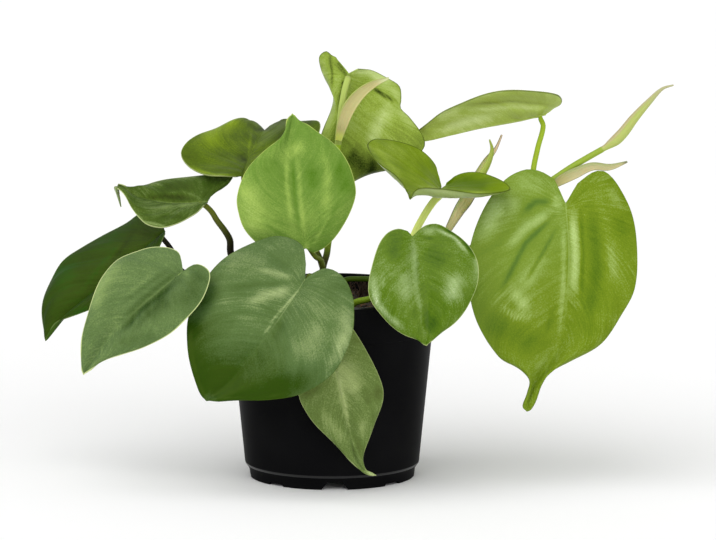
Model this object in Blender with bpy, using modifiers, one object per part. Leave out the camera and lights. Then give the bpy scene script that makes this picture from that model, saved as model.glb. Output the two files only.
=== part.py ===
"""Potted heart-leaf philodendron in a plastic nursery pot, in metres with +Z up.

The origin is the pot's axis at the level that the pot stands on. The viewer looks along +Y. Leaves and
stems are laid out in millimetres as (x, up, y): x to the right, up as it looks from the front, from
VIEW_RISE above the table, and y away from the viewer.
"""

import math
from bisect import bisect_right

import bmesh
import bpy
from mathutils import Vector

MM = 0.001
VIEW_RISE = math.radians(10)

# Pot
POT_HEIGHT = 110
RIM_RADIUS = 60
RIM_BAND = 22
BAND_STEP = 1.0
FOOT_RADIUS = 48.6
TAPER = 0.10
WALL = 1.4
FOOT_HEIGHT = 5.0
FLOOR_THICKNESS = 1.4
BASE_DISC_RADIUS = 20
ARCH_REACH = 9
ARCH = (17, 9, 4.6)
NOTCH = (12.5, 11, 1.5)
SHOULDER = 8.5
POT_STEPS = 40
DRAIN_RADIUS = 3.5
DRAIN_COUNT = 4

# Soil
SOIL_LEVEL = 98
SOIL_LUMP = 0.9
HOLE_DEPTH = 18
GAP = 0.3

# Plant
BLADE_THICKNESS = 0.8
BLADE_ALONG = 12
BLADE_ACROSS = 8
STALK_REACH = 4.2
TUBE_STEP = 1.8

COLOURS = {
    "black_plastic": ((0.012, 0.012, 0.013), 0.42),
    "potting_soil": ((0.045, 0.026, 0.015), 0.9),
    "stem_green": ((0.28, 0.42, 0.06), 0.45),
    "stem_olive": ((0.07, 0.07, 0.02), 0.45),
    "leaf_bright": ((0.22, 0.40, 0.05), 0.38),
    "leaf_mid": ((0.15, 0.29, 0.06), 0.38),
    "leaf_glossy": ((0.10, 0.25, 0.03), 0.22),
    "leaf_dark": ((0.05, 0.12, 0.02), 0.4),
    "leaf_grey": ((0.13, 0.24, 0.09), 0.45),
    "new_leaf": ((0.50, 0.62, 0.22), 0.4),
    "sheath_tan": ((0.58, 0.50, 0.33), 0.6),
}

# Leaves: left and right are for a viewer who faces the upper side with the tip down. A point is
# (x, up) or (x, up, further back). depth is y at the base of the midrib, lean its change for each
# millimetre up, turn for each millimetre to the right. bow brings the middle of the leaf to the front,
# dome lifts the halves and fold sinks the midrib.
LEAVES = {
    "leaf_right_large": {
        "colour": "leaf_bright", "depth": -11, "lean": 0.26, "turn": 0.05, "bow": 9, "dome": 5.0,
        "fold": 4.0,
        "midrib": [(137, 159.5), (139, 130.5), (137.5, 102.5), (134.5, 82), (127, 66), (120, 55),
                   (116, 46), (114, 37.8)],
        "left": [(130.5, 173.5), (122.5, 178), (113.5, 179), (101.5, 173), (89, 156.5), (81, 134.5),
                 (80, 111.5), (85, 89.5), (97.5, 70), (109.5, 63.5), (115.5, 56.5), (114, 48.5),
                 (111.8, 40.5), (114, 37.8)],
        "right": [(144, 171), (154, 178), (160.5, 178), (168, 170), (176, 153), (178.5, 132),
                  (177, 109.5), (170, 95), (158, 78), (140, 68), (128, 60.5), (123, 53.5),
                  (119.8, 46), (116.5, 38.8), (114, 37.8)],
    },
    "leaf_top_right": {
        "colour": "leaf_bright", "depth": 24, "lean": 0, "turn": -0.07, "dome": 2.0, "fold": 0,
        "midrib": [(125.5, 212.5), (109, 208.5), (86.5, 204), (70, 200), (54.5, 196.5), (42.5, 196)],
        "left": [(128.5, 215, 5), (132, 219, 16), (127.5, 222, 25), (114, 222, 28), (93, 216, 25),
                 (72.5, 207.5, 17), (56.5, 200.5, 7), (42.5, 196, 0)],
        "right": [(130, 215, -3), (134, 217.5, -10), (135, 220.5, -17), (132, 223.5, -23),
                  (122.5, 225, -27), (100.5, 225, -27), (84.5, 222, -23), (69, 215, -16),
                  (55.5, 206.5, -7), (42.5, 196, 0)],
    },
    "leaf_top_centre": {
        "colour": "leaf_bright", "depth": 12, "lean": 0, "turn": 0, "dome": -5.0, "fold": 0,
        "midrib": [(10, 236), (6.5, 220.5), (3.5, 203), (1, 185.5), (-0.5, 166.5)],
        "left": [(15.5, 238.5, 2), (23.5, 238, 10), (32.5, 233.5, 14), (39.5, 228.5, 12), (40.5, 221, 8),
                 (40, 215.5, 6), (45.5, 210, 6), (53.5, 199.5, 6), (54.5, 193, 5), (48.5, 186.5, 4),
                 (37, 181, 3), (23.5, 177, 2), (10.5, 171.5, 1), (-0.5, 166.5, 0)],
        "right": [(2, 245.5, 4), (-1, 247, 6), (-3.5, 249, 9), (-7, 246, 12), (-6, 239.5, 12),
                  (-3, 231.5, 10), (0.5, 223.5, 6), (-0.5, 215, 4), (-6, 199, 4), (-9.5, 188, 4),
                  (-8.5, 176.5, 2), (-0.5, 166.5, 0)],
    },
    "leaf_upright": {
        "colour": "leaf_bright", "depth": -24, "lean": 0.24, "turn": 0, "bow": 6, "dome": 3.0,
        "fold": 4.0,
        "midrib": [(-15.5, 133), (-16.5, 145.5), (-19.5, 160.5), (-24, 180.5), (-25, 197), (-23, 212)],
        "left": [(-10.5, 130.5), (-4.5, 133.5), (2.5, 140.5), (9, 150.5), (13, 160), (14, 167.5),
                 (11, 179.5), (6, 189), (0, 195.5), (-8.5, 201), (-14, 205.5), (-19.5, 208.5),
                 (-23, 212)],
        "right": [(-19.5, 130.5), (-27.5, 129), (-38, 131.5), (-45.5, 137.5), (-51.5, 145),
                  (-54.5, 154), (-55.5, 162), (-53, 172.5), (-48.5, 181), (-39, 190), (-31.5, 196.5),
                  (-27.5, 202), (-26, 208.5), (-23, 212)],
    },
    "leaf_small_curved": {
        "colour": "leaf_mid", "depth": -8, "lean": 0, "turn": 0, "dome": -3.0, "fold": 0,
        "midrib": [(64.5, 168.5, 0), (61.5, 166, -15), (56, 165, -30), (50, 165, -45),
                   (45.5, 161.5, -56)],
        "left": [(63, 175, 6), (60.5, 181.5, 12), (55.5, 187.5, 12), (49.5, 192, 10), (40.5, 195.5, 4),
                 (31.5, 197, -2), (24, 196.5, -10), (20.5, 193.5, -16), (22.5, 189, -24),
                 (28.5, 182.5, -34), (38, 174, -46), (42.5, 169.5, -52), (45.5, 161.5, -56)],
        "right": [(67.5, 171, 6), (72, 175, 12), (78, 177.5, 14), (85.5, 178, 12), (93, 176, 6),
                  (101, 171.5, -6), (104.5, 167.5, -14), (101, 166, -20), (91.5, 165.5, -27),
                  (81.5, 165.5, -34), (71, 166.5, -41), (61.5, 168, -47), (54.5, 168.5, -51),
                  (49.5, 167, -54), (45.5, 161.5, -56)],
    },
    "leaf_small_glossy": {
        "colour": "leaf_glossy", "depth": -58, "lean": 0.30, "turn": -0.05, "bow": 5, "dome": 4.5,
        "fold": 2.0,
        "midrib": [(47, 140), (52, 125), (55.5, 108.5), (56.5, 94), (55, 76.5)],
        "left": [(44, 143), (38.5, 144), (32.5, 141.5), (27.5, 135), (23.5, 123.5), (21.5, 111.5),
                 (22.5, 104), (26.5, 97), (33.5, 89), (42.5, 83), (50, 79.5), (55, 76.5)],
        "right": [(51.5, 144), (56, 146.5), (62, 147), (70, 143), (76.5, 138), (82, 131), (85, 122.5),
                  (84.5, 111.5), (79, 99.5), (71, 89.5), (63.5, 83.5), (58.5, 80), (55, 76.5)],
    },
    "leaf_front_large": {
        "colour": "leaf_grey", "depth": -64, "lean": 0.42, "turn": -0.25, "bow": 7, "dome": 4.5,
        "fold": 4.0,
        "midrib": [(-15.5, 115), (-25, 102.5), (-41.5, 80), (-59, 56.5), (-73, 44.5)],
        "left": [(-15, 124), (-17, 134), (-24, 138.5), (-33.5, 140), (-46, 136.5), (-60.5, 129),
                 (-70.5, 119), (-79.5, 104), (-84, 91), (-84, 78), (-81.5, 63.5), (-77.5, 50.5),
                 (-73, 44.5)],
        "right": [(-11, 118), (-4, 121), (2.5, 119.5), (8.5, 114), (12.5, 104), (13, 95.5), (12.5, 86),
                  (9.5, 75.5), (2.5, 62.5), (-7, 54), (-19.5, 48), (-35.5, 45.5), (-54.5, 44.5),
                  (-73, 44.5)],
    },
    "leaf_front_hanging": {
        "colour": "leaf_grey", "depth": -66.7, "lean": -0.06, "turn": 0.08, "bow": 3, "dome": 1.5,
        "fold": 1.5,
        "midrib": [(-2.5, 81.5), (2.5, 60), (9, 30.5), (16, 6.5), (26, 0.5)],
        "left": [(-7, 86), (-14, 84), (-19.5, 73), (-21, 60), (-19, 46.5), (-15.5, 39), (-9.5, 30.5),
                 (-0.5, 21), (8.5, 12), (16.5, 3.5), (20.5, 1), (26, 0.5)],
        "right": [(2.5, 89.5), (8.5, 91.5), (12.5, 86), (18.5, 76.5), (25.5, 63), (29.5, 52.5),
                  (30, 46), (28.5, 39.5), (23.5, 27.5), (19.5, 16.5), (18.5, 8.5), (20.5, 2.5),
                  (26, 0.5)],
    },
    "leaf_left_front": {
        "colour": "leaf_grey", "depth": -54, "lean": 0.45, "turn": -0.15, "bow": 6, "dome": 3.5,
        "fold": 3.5,
        "midrib": [(-86.5, 119.5), (-98.5, 111.5), (-116, 97), (-132, 79), (-144.5, 59.5)],
        "left": [(-87.5, 125), (-89.5, 130.5), (-95.5, 133), (-104.5, 133.5), (-112, 132),
                 (-124.5, 127), (-133, 117), (-139, 104.5), (-143.5, 89.5), (-146, 73), (-145.5, 63.5),
                 (-144.5, 59.5)],
        "right": [(-84, 121), (-79, 123.5), (-74.5, 122.5), (-71, 119), (-71.5, 112.5), (-76, 102),
                  (-85, 91.5), (-94.5, 83), (-108, 76), (-122, 71.5), (-134.5, 66.5), (-141, 62),
                  (-144.5, 59.5)],
    },
    "leaf_left_back": {
        "colour": "leaf_dark", "depth": 5, "lean": 0.67, "turn": -0.74, "bow": 5, "dome": 2.5,
        "fold": 2.0,
        "midrib": [(-98.5, 143.5), (-113.5, 132), (-134, 114.5), (-154.5, 97), (-169, 78.5)],
        "left": [(-99.5, 147.5), (-105.5, 153), (-113.5, 153), (-120.5, 148.5), (-134.5, 141.5),
                 (-148, 133), (-159.5, 125), (-166, 115), (-170, 104), (-171, 90.5), (-169, 78.5)],
        "right": [(-98, 141.5), (-101.5, 133.5), (-107.5, 120.5), (-119, 108.5), (-131, 101.5),
                  (-142.5, 97), (-156.5, 92), (-163.5, 88), (-167.5, 82.5), (-169, 78.5)],
    },
    "leaf_left_mid": {
        "colour": "leaf_mid", "depth": -2, "lean": 0, "turn": 0, "dome": 1.5, "fold": 1.0,
        "midrib": [(-73, 160.5), (-95.5, 160.5), (-113.5, 164), (-121.5, 168.5), (-126.5, 169.5),
                   (-124, 157.5, 8)],
        "left": [(-69.5, 166, 8), (-63.5, 169.5, 13), (-59.5, 173, 16), (-58.5, 175, 18),
                 (-63.5, 176, 20), (-75, 176.5, 20), (-92, 174, 18), (-107.5, 171, 12), (-118, 167, 5),
                 (-121, 170, 2), (-124.5, 171, 2), (-125.5, 168.5, 6), (-124, 157.5, 8)],
        "right": [(-75, 158, -4), (-79, 154, -9), (-84, 151, -13), (-91, 147.5, -17), (-99.5, 145, -19),
                  (-107.5, 146.5, -18), (-112.5, 150.5, -14), (-117.5, 157, -9), (-121, 163.5, -5),
                  (-124.5, 167.5, -2), (-127.5, 169.5, 2), (-126.5, 166, 6), (-124, 157.5, 8)],
    },
    "leaf_top_left": {
        "colour": "leaf_dark", "depth": 14, "lean": 0, "turn": 0, "dome": 2.0, "fold": 0,
        "midrib": [(-52.5, 176, 0), (-49, 187, 20), (-44, 199, 44), (-40, 203.5, 60), (-39.5, 196, 78)],
        "left": [(-48.5, 175, -3), (-36.5, 173.5, -2), (-24, 177, 2), (-14, 186, 14), (-9, 197, 27),
                 (-7.5, 207.5, 40), (-19.5, 209, 50), (-28.5, 209.5, 58), (-34, 204, 67),
                 (-39.5, 196, 78)],
        "right": [(-56.5, 175, -3), (-65, 175.5, -7), (-74, 176.5, -5), (-83, 180.5, 3),
                  (-88, 185.5, 10), (-89, 190, 16), (-85.5, 195.5, 24), (-78.5, 200.5, 33),
                  (-69, 204.5, 42), (-59, 209, 51), (-52, 210, 58), (-47, 207.5, 64), (-43.5, 203, 71),
                  (-39.5, 196, 78)],
    },
}

# Stems: root is (x, y) in the soil. A route is (x, up, y) points with the thickness at its start and
# its end, and may end on the underside of a leaf.
STEMS = {
    "stem_left": {
        "colour": "stem_olive", "root": (-38, -4), "thickness": 5.0,
        "routes": [
            {"rooted": True,
             "points": [(-46, 108, -3), (-55, 118, -1), (-59.5, 130.5, 0), (-60, 138, 0),
                        (-63, 143.5, -1), (-67.5, 149.5, 0), (-71, 155, 1)],
             "thickness": (4.2, 2.8), "leaf": "leaf_left_mid"},
            {"rooted": True,
             "points": [(-44, 106, -14), (-56, 112, -28), (-68, 115, -40), (-79, 117, -46)],
             "thickness": (3.4, 2.6), "leaf": "leaf_left_front"},
            {"rooted": True,
             "points": [(-46, 105, -2), (-56, 111.8, 0), (-66, 113, 2), (-78, 114.8, 4), (-90, 121.5, 5),
                        (-94.2, 132, 6)],
             "thickness": (3.4, 2.6), "leaf": "leaf_left_back"},
        ],
    },
    "stem_front": {
        "colour": "stem_olive", "root": (-8, -36), "thickness": 4.6,
        "routes": [
            {"rooted": True, "points": [(-10, 110, -43), (-13, 117, -53)], "thickness": (3.4, 2.8),
             "leaf": "leaf_front_large"},
            {"rooted": True,
             "points": [(-6, 110, -45), (-4, 113, -56), (-3, 107, -62.6), (-2.7, 96, -63.8),
                        (-2.5, 85, -63.8)],
             "thickness": (3.0, 2.2), "leaf": "leaf_front_hanging"},
        ],
    },
    "stem_centre": {
        "colour": "stem_green", "root": (-5, -2), "thickness": 5.4,
        "routes": [
            {"rooted": True,
             "points": [(-5.3, 112, -4), (-5.3, 121.5, -5), (-3, 130, -1), (-2.4, 134.5, 1),
                        (0, 150, 4), (2, 165, 5), (3, 180, 5), (3.5, 194, 4)],
             "thickness": (5.0, 4.6)},
            {"points": [(-5.3, 121.5, -5), (-6.5, 126, -9), (-10, 128.6, -15)], "thickness": (3.2, 2.6),
             "leaf": "leaf_upright"},
            {"points": [(3.5, 194, 4), (4.5, 204, 1.6), (5.5, 214, 1.4), (7.5, 226, 3.2), (9.3, 232.5, 5.6)],
             "thickness": (3.4, 3.0), "leaf": "leaf_top_centre"},
            {"points": [(-5.3, 121.5, -5), (-9, 131, 0), (-18, 141, 4), (-32, 153, 8), (-45, 165, 12),
                        (-51, 170.5, 14.5)],
             "thickness": (3.2, 2.6), "leaf": "leaf_top_left"},
        ],
    },
    "stem_middle": {
        "colour": "stem_green", "root": (10, -33), "thickness": 4.6,
        "routes": [
            {"rooted": True,
             "points": [(13, 101, -36), (24, 104.2, -38), (36, 112, -39), (45, 120, -38), (56, 132, -36),
                        (64, 141, -33.5), (67.7, 144, -30)],
             "thickness": (4.4, 2.8)},
            {"points": [(36, 112, -39), (43, 126, -35), (47.8, 140.4, -30), (53.5, 151.5, -22),
                        (59.5, 160.5, -13), (63.5, 164.5, -9.5)],
             "thickness": (4.4, 5.0), "leaf": "leaf_small_curved"},
            {"points": [(64, 141, -34), (62, 142, -42), (56, 142.5, -50)], "thickness": (3.2, 2.6),
             "leaf": "leaf_small_glossy"},
        ],
    },
    "stem_right": {
        "colour": "stem_green", "root": (0, 15), "thickness": 4.8,
        "routes": [
            {"rooted": True,
             "points": [(2, 110, 14), (8, 114.6, 12), (16, 115.2, 11), (24, 115.1, 10), (45, 117, 6),
                        (58, 121, 3), (84, 135, 0), (111, 158, 2), (122, 167, 4), (130, 173.5, 4)],
             "thickness": (3.7, 4.6)},
            {"points": [(111, 158, 2), (120, 160, 0), (129, 160, -4)], "thickness": (3.2, 2.8),
             "leaf": "leaf_right_large"},
            {"points": [(122, 167, 4), (119.5, 172, 8), (118.3, 178, 11), (121, 192, 16),
                        (124.3, 205, 21)],
             "thickness": (3.2, 2.6), "leaf": "leaf_top_right"},
        ],
    },
}

# Rolled new leaves: (x, up, y, thickness) from the stalk to the tip
NEW_LEAVES = {
    "new_leaf_right": [(130.9, 174.2, 4.1, 3.8), (141, 181, 5, 3.7), (152, 187.5, 6, 3.6),
                       (160.5, 192.3, 6.9, 3.8), (163.5, 194.3, 7.2, 5.2), (167, 196.8, 7.8, 6.5),
                       (171.5, 201.5, 8.4, 6.5), (177.6, 209.5, 9.4, 5.5), (187, 220, 10.6, 3.6),
                       (194, 226.8, 11.4, 1.9), (200.6, 229, 12, 0.9)],
    "new_leaf_middle": [(84.5, 171, 11.5, 4.4), (89, 178, 13.6, 4.4), (92.8, 185.5, 15.9, 3.4),
                        (94.2, 191.5, 17.4, 2.2), (92.7, 197.2, 18, 0.9)],
}

# Sheaths: (x, up, y, width) from the base to the tip
SHEATHS = {
    "sheath_right": [(131.4, 171.2, 1.2, 5.2), (136, 173.9, 1.3, 6.6), (142.3, 177, 1.9, 7.0),
                     (152.8, 181.2, 3.8, 5.2), (163.4, 180.9, 7, 4.0), (173.6, 184, 10, 1.0)],
    "sheath_top": [(3.7, 196.3, 0.4, 4.4), (6.1, 205.5, -2.9, 7.2), (9.9, 215, -3.2, 8.4),
                   (16.4, 223.5, -2.4, 7.2), (24.2, 229.2, -1.2, 4.8), (33.5, 232.8, 0, 1.2)],
    "sheath_middle": [(68.3, 144.5, -29.5, 4.6), (75, 156, -9, 7.5), (79.5, 162.5, 4.5, 8.5),
                      (85, 173, 15, 7.5), (91, 184.5, 18.5, 4.5), (96.5, 192, 20, 2.0),
                      (100, 200, 21, 0.9)],
}


def seen(x, up, y):
    """The place of a point that stands at height up in the view, y behind the pot's axis."""
    return Vector((x, y, (up - y * math.sin(VIEW_RISE)) / math.cos(VIEW_RISE))) * MM


def flowing_line(points):
    """A smooth line through the points, as a function of the share of its length."""
    stops = [0.0]
    for here, there in zip(points, points[1:]):
        stops.append(stops[-1] + (there - here).length)
    last = len(points) - 1

    def slope(i):
        before, after = max(i - 1, 0), min(i + 1, last)
        return (points[after] - points[before]) / (stops[after] - stops[before])

    def at(share):
        distance = share * stops[-1]
        i = min(bisect_right(stops, distance) - 1, last - 1)
        span = stops[i + 1] - stops[i]
        t = (distance - stops[i]) / span
        from_start = (1 + 2 * t) * (1 - t) ** 2 * points[i] + t * (1 - t) ** 2 * span * slope(i)
        to_end = t * t * (3 - 2 * t) * points[i + 1] - t * t * (1 - t) * span * slope(i + 1)
        return from_start + to_end

    return at


class Blade:
    """The middle surface of a leaf blade, by share along the midrib and place across it."""

    def __init__(self, leaf):
        self.leaf = leaf
        self.midrib, self.left, self.right = (
            flowing_line([self.place(*point) for point in leaf[line]])
            for line in ("midrib", "left", "right")
        )

    def place(self, x, up, back=0):
        base_x, base_up = self.leaf["midrib"][0][:2]
        share = (up - base_up) / (self.leaf["midrib"][-1][1] - base_up)
        y = self.leaf["depth"] + self.leaf["lean"] * (up - base_up) + self.leaf["turn"] * (x - base_x)
        y -= self.leaf.get("bow", 0) * 4 * share * (1 - share)
        return seen(x, up, y + back)

    def upper_side(self, along):
        """The direction that the upper side faces at the midrib."""
        near, far = max(along - 0.02, 0), min(along + 0.02, 1)
        forward = self.midrib(far) - self.midrib(near)
        return forward.cross(self.right(min(along, 0.9)) - self.left(min(along, 0.9))).normalized()

    def at(self, along, across):
        centre = self.midrib(along)
        margin = self.right(along) if across > 0 else self.left(along)
        side = abs(across)
        swell = math.sin(math.pi * along) ** 0.8
        lift = self.leaf["dome"] * 4 * side * (1 - side) - self.leaf["fold"] * (1 - side) ** 1.5
        return centre.lerp(margin, side) + self.upper_side(along) * lift * swell * MM


def make_material(name, finish):
    colour, roughness = COLOURS[finish]
    material = bpy.data.materials.new(name)
    material.use_nodes = True
    shader = material.node_tree.nodes["Principled BSDF"]
    shader.inputs["Base Color"].default_value = (*colour, 1)
    shader.inputs["Roughness"].default_value = roughness
    shader.inputs["Metallic"].default_value = 0
    return material


def make_object(name, mesh, collection, material=None):
    thing = bpy.data.objects.new(name, mesh)
    collection.objects.link(thing)
    if material:
        mesh.materials.clear()
        mesh.materials.append(material)
    return thing


def apply_modifiers(thing):
    """Replaces the object's mesh by its evaluated one."""
    evaluated = thing.evaluated_get(bpy.context.evaluated_depsgraph_get())
    mesh = bpy.data.meshes.new_from_object(evaluated)
    thing.modifiers.clear()
    thing.data = mesh


def smooth(thing, angle=40):
    thing.data.shade_smooth()
    thing.data.set_sharp_from_angle(angle=math.radians(angle))


def turned(name, profile, collection, material=None, steps=POT_STEPS):
    """A round solid from (radius, height) points in millimetres, down the outside and up the inside."""
    mesh = bpy.data.meshes.new(name)
    points = [(radius * MM, 0, height * MM) for radius, height in profile]
    mesh.from_pydata(points, [(i, i + 1) for i in range(len(points) - 1)], [])
    thing = make_object(name, mesh, collection, material)
    screw = thing.modifiers.new("turn", "SCREW")
    screw.steps = screw.render_steps = steps
    screw.use_merge_vertices = True
    screw.merge_threshold = 0.00001
    apply_modifiers(thing)
    return thing


def cut(thing, cutters):
    """Cuts every object of the cutter collection out of the thing."""
    difference = thing.modifiers.new("cut", "BOOLEAN")
    difference.operation = "DIFFERENCE"
    difference.operand_type = "COLLECTION"
    difference.collection = cutters
    apply_modifiers(thing)


def make_cutter_collection(name, parent):
    cutters = bpy.data.collections.new(name)
    parent.children.link(cutters)
    return cutters


def wall_radius(height):
    """The outer radius of the pot's tapered wall."""
    return FOOT_RADIUS + 1.9 + TAPER * height


def add_cutter(cutters, name, shape):
    mesh = bpy.data.meshes.new(name)
    bmesh.ops.recalc_face_normals(shape, faces=shape.faces)
    shape.to_mesh(mesh)
    shape.free()
    cutter = bpy.data.objects.new(name, mesh)
    cutter.hide_render = True
    cutter.display_type = "WIRE"
    cutters.objects.link(cutter)
    return cutter


def add_arch_cutter(cutters, name, angle, bottom_width, top_width, height):
    """A wedge through the foot ring that leaves an arch between two feet."""
    wedge = bmesh.new()
    bmesh.ops.create_cube(wedge, size=1)
    for vertex in wedge.verts:
        width = top_width if vertex.co.z > 0 else bottom_width
        z = height if vertex.co.z > 0 else -1
        vertex.co = Vector((FOOT_RADIUS - 1 + vertex.co.x * ARCH_REACH, vertex.co.y * width, z)) * MM
    add_cutter(cutters, name, wedge).rotation_euler.z = angle


def add_round_cutter(cutters, name, x, y, bottom, top, radius):
    post = bmesh.new()
    bmesh.ops.create_cone(post, segments=16, radius1=radius * MM, radius2=radius * MM,
                          depth=(top - bottom) * MM, cap_ends=True)
    cutter = add_cutter(cutters, name, post)
    cutter.location = Vector((x, y, (top + bottom) / 2)) * MM


def add_pot(collection, cutters):
    band_foot = POT_HEIGHT - RIM_BAND
    band_radius = wall_radius(band_foot) + BAND_STEP
    inner_band = wall_radius(band_foot) - WALL
    floor_top = FOOT_HEIGHT + FLOOR_THICKNESS
    channel_radius = FOOT_RADIUS - 3.2
    profile = [
        (RIM_RADIUS - 0.4, POT_HEIGHT),
        (RIM_RADIUS, POT_HEIGHT - 0.5),
        (band_radius + 0.1, band_foot + 0.4),
        (band_radius - 0.4, band_foot),
        (wall_radius(band_foot) - 0.2, band_foot - 0.6),
        (wall_radius(SHOULDER), SHOULDER),
        (wall_radius(SHOULDER) - 0.5, SHOULDER - 0.9),
        (FOOT_RADIUS + 0.4, FOOT_HEIGHT),
        (FOOT_RADIUS, 0),
        (FOOT_RADIUS - 2.2, 0),
        (channel_radius, FOOT_HEIGHT),
        (BASE_DISC_RADIUS + 5, FOOT_HEIGHT),
        (BASE_DISC_RADIUS, 0),
        (0, 0),
    ]
    inside = [
        (0, FLOOR_THICKNESS),
        (BASE_DISC_RADIUS - 0.6, FLOOR_THICKNESS),
        (BASE_DISC_RADIUS + 4.4, floor_top),
        (wall_radius(SHOULDER) - WALL - 1.0, floor_top),
        (wall_radius(SHOULDER) - WALL, floor_top + 1.2),
        (inner_band, band_foot),
        (RIM_RADIUS - WALL, POT_HEIGHT - 0.4),
    ]
    pot = turned("nursery_pot", profile + inside + profile[:1], collection,
                 make_material("nursery_pot", "black_plastic"))
    for side in range(4):
        angle = math.radians(-88 + 90 * side)
        add_arch_cutter(cutters, f"arch_{side}", angle, *ARCH)
        add_arch_cutter(cutters, f"notch_{side}", angle + math.radians(45), *NOTCH)
    for hole in range(DRAIN_COUNT):
        angle = math.radians(45 + 360 / DRAIN_COUNT * hole)
        middle = (BASE_DISC_RADIUS + 5 + channel_radius) / 2
        add_round_cutter(cutters, f"drain_{hole}", middle * math.cos(angle), middle * math.sin(angle),
                         FOOT_HEIGHT - 2, floor_top + 2, DRAIN_RADIUS)
    cut(pot, cutters)
    smooth(pot, 30)
    return pot


def add_soil(collection, cutters):
    """Potting mix that fills the pot, uneven on top, with a plain hole for each stem."""
    inner_band = wall_radius(POT_HEIGHT - RIM_BAND) - WALL - GAP
    floor_top = FOOT_HEIGHT + FLOOR_THICKNESS + GAP
    inner_foot = wall_radius(SHOULDER) - WALL - GAP
    rings = [inner_band * share for share in (0.99, 0.75, 0.5, 0.25)]
    profile = [(radius, SOIL_LEVEL) for radius in [0] + rings[::-1]]
    profile += [
        (inner_band + 0.3, SOIL_LEVEL - 1.5),
        (inner_band, POT_HEIGHT - RIM_BAND),
        (inner_foot, floor_top + 1.4),
        (inner_foot - 1.2, floor_top),
        (BASE_DISC_RADIUS + 4.2, floor_top),
        (BASE_DISC_RADIUS - 0.8, FLOOR_THICKNESS + GAP),
        (0, FLOOR_THICKNESS + GAP),
    ]
    soil = turned("potting_soil", profile, collection, make_material("potting_soil", "potting_soil"),
                  steps=24)
    for vertex in soil.data.vertices:
        x, y, z = vertex.co / MM
        if z > SOIL_LEVEL - 0.1:
            wave = math.sin(0.21 * x + 1.3) * math.cos(0.17 * y) + math.sin(0.012 * x * y)
            vertex.co.z += SOIL_LUMP * wave * MM
    for name, stem in STEMS.items():
        x, y = stem["root"]
        add_round_cutter(cutters, "hole_" + name, x, y, SOIL_LEVEL - HOLE_DEPTH, SOIL_LEVEL + 5,
                         stem["thickness"] / 2 + GAP)
    cut(soil, cutters)
    smooth(soil, 60)
    return soil


def add_blade(name, leaf, collection):
    """A leaf blade: a grid laid on the blade's surface, then given its thickness."""
    surface = Blade(leaf)
    mesh = bpy.data.meshes.new(name)
    grid = bmesh.new()
    bmesh.ops.create_grid(grid, x_segments=BLADE_ACROSS, y_segments=BLADE_ALONG, size=1)
    for vertex in grid.verts:
        across, along = vertex.co.x, (vertex.co.y + 1) / 2
        vertex.co = surface.at(along, across)
    bmesh.ops.remove_doubles(grid, verts=grid.verts, dist=0.00002)
    bmesh.ops.triangulate(grid, faces=grid.faces)
    grid.to_mesh(mesh)
    grid.free()
    blade = make_object(name, mesh, collection, make_material(name, leaf["colour"]))
    thick = blade.modifiers.new("thickness", "SOLIDIFY")
    thick.thickness = BLADE_THICKNESS * MM
    thick.offset = 0
    apply_modifiers(blade)
    smooth(blade)
    return surface


def tube(points, thicknesses):
    """A closed tapering tube along a smooth line through the points, as a mesh."""
    line = flowing_line([Vector((*point, thickness * MM))
                         for point, thickness in zip(points, thicknesses)])
    length = sum((b - a).length for a, b in zip(points, points[1:]))
    count = max(6, round(length / (TUBE_STEP * max(thicknesses) * MM)))
    curve = bpy.data.curves.new("route", "CURVE")
    curve.dimensions = "3D"
    curve.bevel_depth = 0.5
    curve.bevel_resolution = 2
    curve.use_fill_caps = True
    spline = curve.splines.new("POLY")
    spline.points.add(count)
    for i, point in enumerate(spline.points):
        place = line(i / count)
        point.co = (*place.xyz, 1)
        point.radius = place.w
    guide = bpy.data.objects.new("route", curve)
    bpy.context.scene.collection.objects.link(guide)
    evaluated = guide.evaluated_get(bpy.context.evaluated_depsgraph_get())
    mesh = bpy.data.meshes.new_from_object(evaluated)
    bpy.data.objects.remove(guide)
    bpy.data.curves.remove(curve)
    shape = bmesh.new()
    shape.from_mesh(mesh)
    bmesh.ops.remove_doubles(shape, verts=shape.verts, dist=0.00001)
    bmesh.ops.recalc_face_normals(shape, faces=shape.faces)
    shape.to_mesh(mesh)
    shape.free()
    return mesh


def join_into(thing, pieces):
    """Fuses the collection's objects into the thing, then removes them."""
    union = thing.modifiers.new("join", "BOOLEAN")
    union.operation = "UNION"
    union.operand_type = "COLLECTION"
    union.collection = pieces
    apply_modifiers(thing)
    for piece in list(pieces.objects):
        bpy.data.objects.remove(piece)
    bpy.data.collections.remove(pieces)


def leaf_seat(blade):
    """The last two points of a stalk that ends on the underside of the blade, near its base."""
    seat = blade.at(0.05, 0)
    down = -blade.upper_side(0.05)
    clear = (BLADE_THICKNESS / 2 + 3 * GAP) * MM
    return [seat + down * STALK_REACH * MM, seat + down * clear]


def add_stem(name, stem, blades, collection):
    """A leafy stem: its foot in the soil, and the stalks that grow from it."""
    x, y = stem["root"]
    heights = (SOIL_LEVEL - HOLE_DEPTH + 1, SOIL_LEVEL - 8, SOIL_LEVEL + 5)
    foot = [Vector((x, y, height)) * MM for height in heights]
    root = make_object(name, tube(foot, [stem["thickness"]] * 3), collection,
                       make_material(name, stem["colour"]))
    pieces = bpy.data.collections.new(name + "_pieces")
    bpy.context.scene.collection.children.link(pieces)
    for number, route in enumerate(stem["routes"]):
        points = [seen(*point) for point in route["points"]]
        if route.get("rooted"):
            points = [foot[1], foot[2]] + points
        if "leaf" in route:
            points += leaf_seat(blades[route["leaf"]])
        start, end = route["thickness"]
        steps = len(points) - 1
        thicknesses = [start + (end - start) * i / steps for i in range(steps + 1)]
        make_object(f"{name}_stalk_{number}", tube(points, thicknesses), pieces)
    join_into(root, pieces)
    smooth(root)


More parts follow.
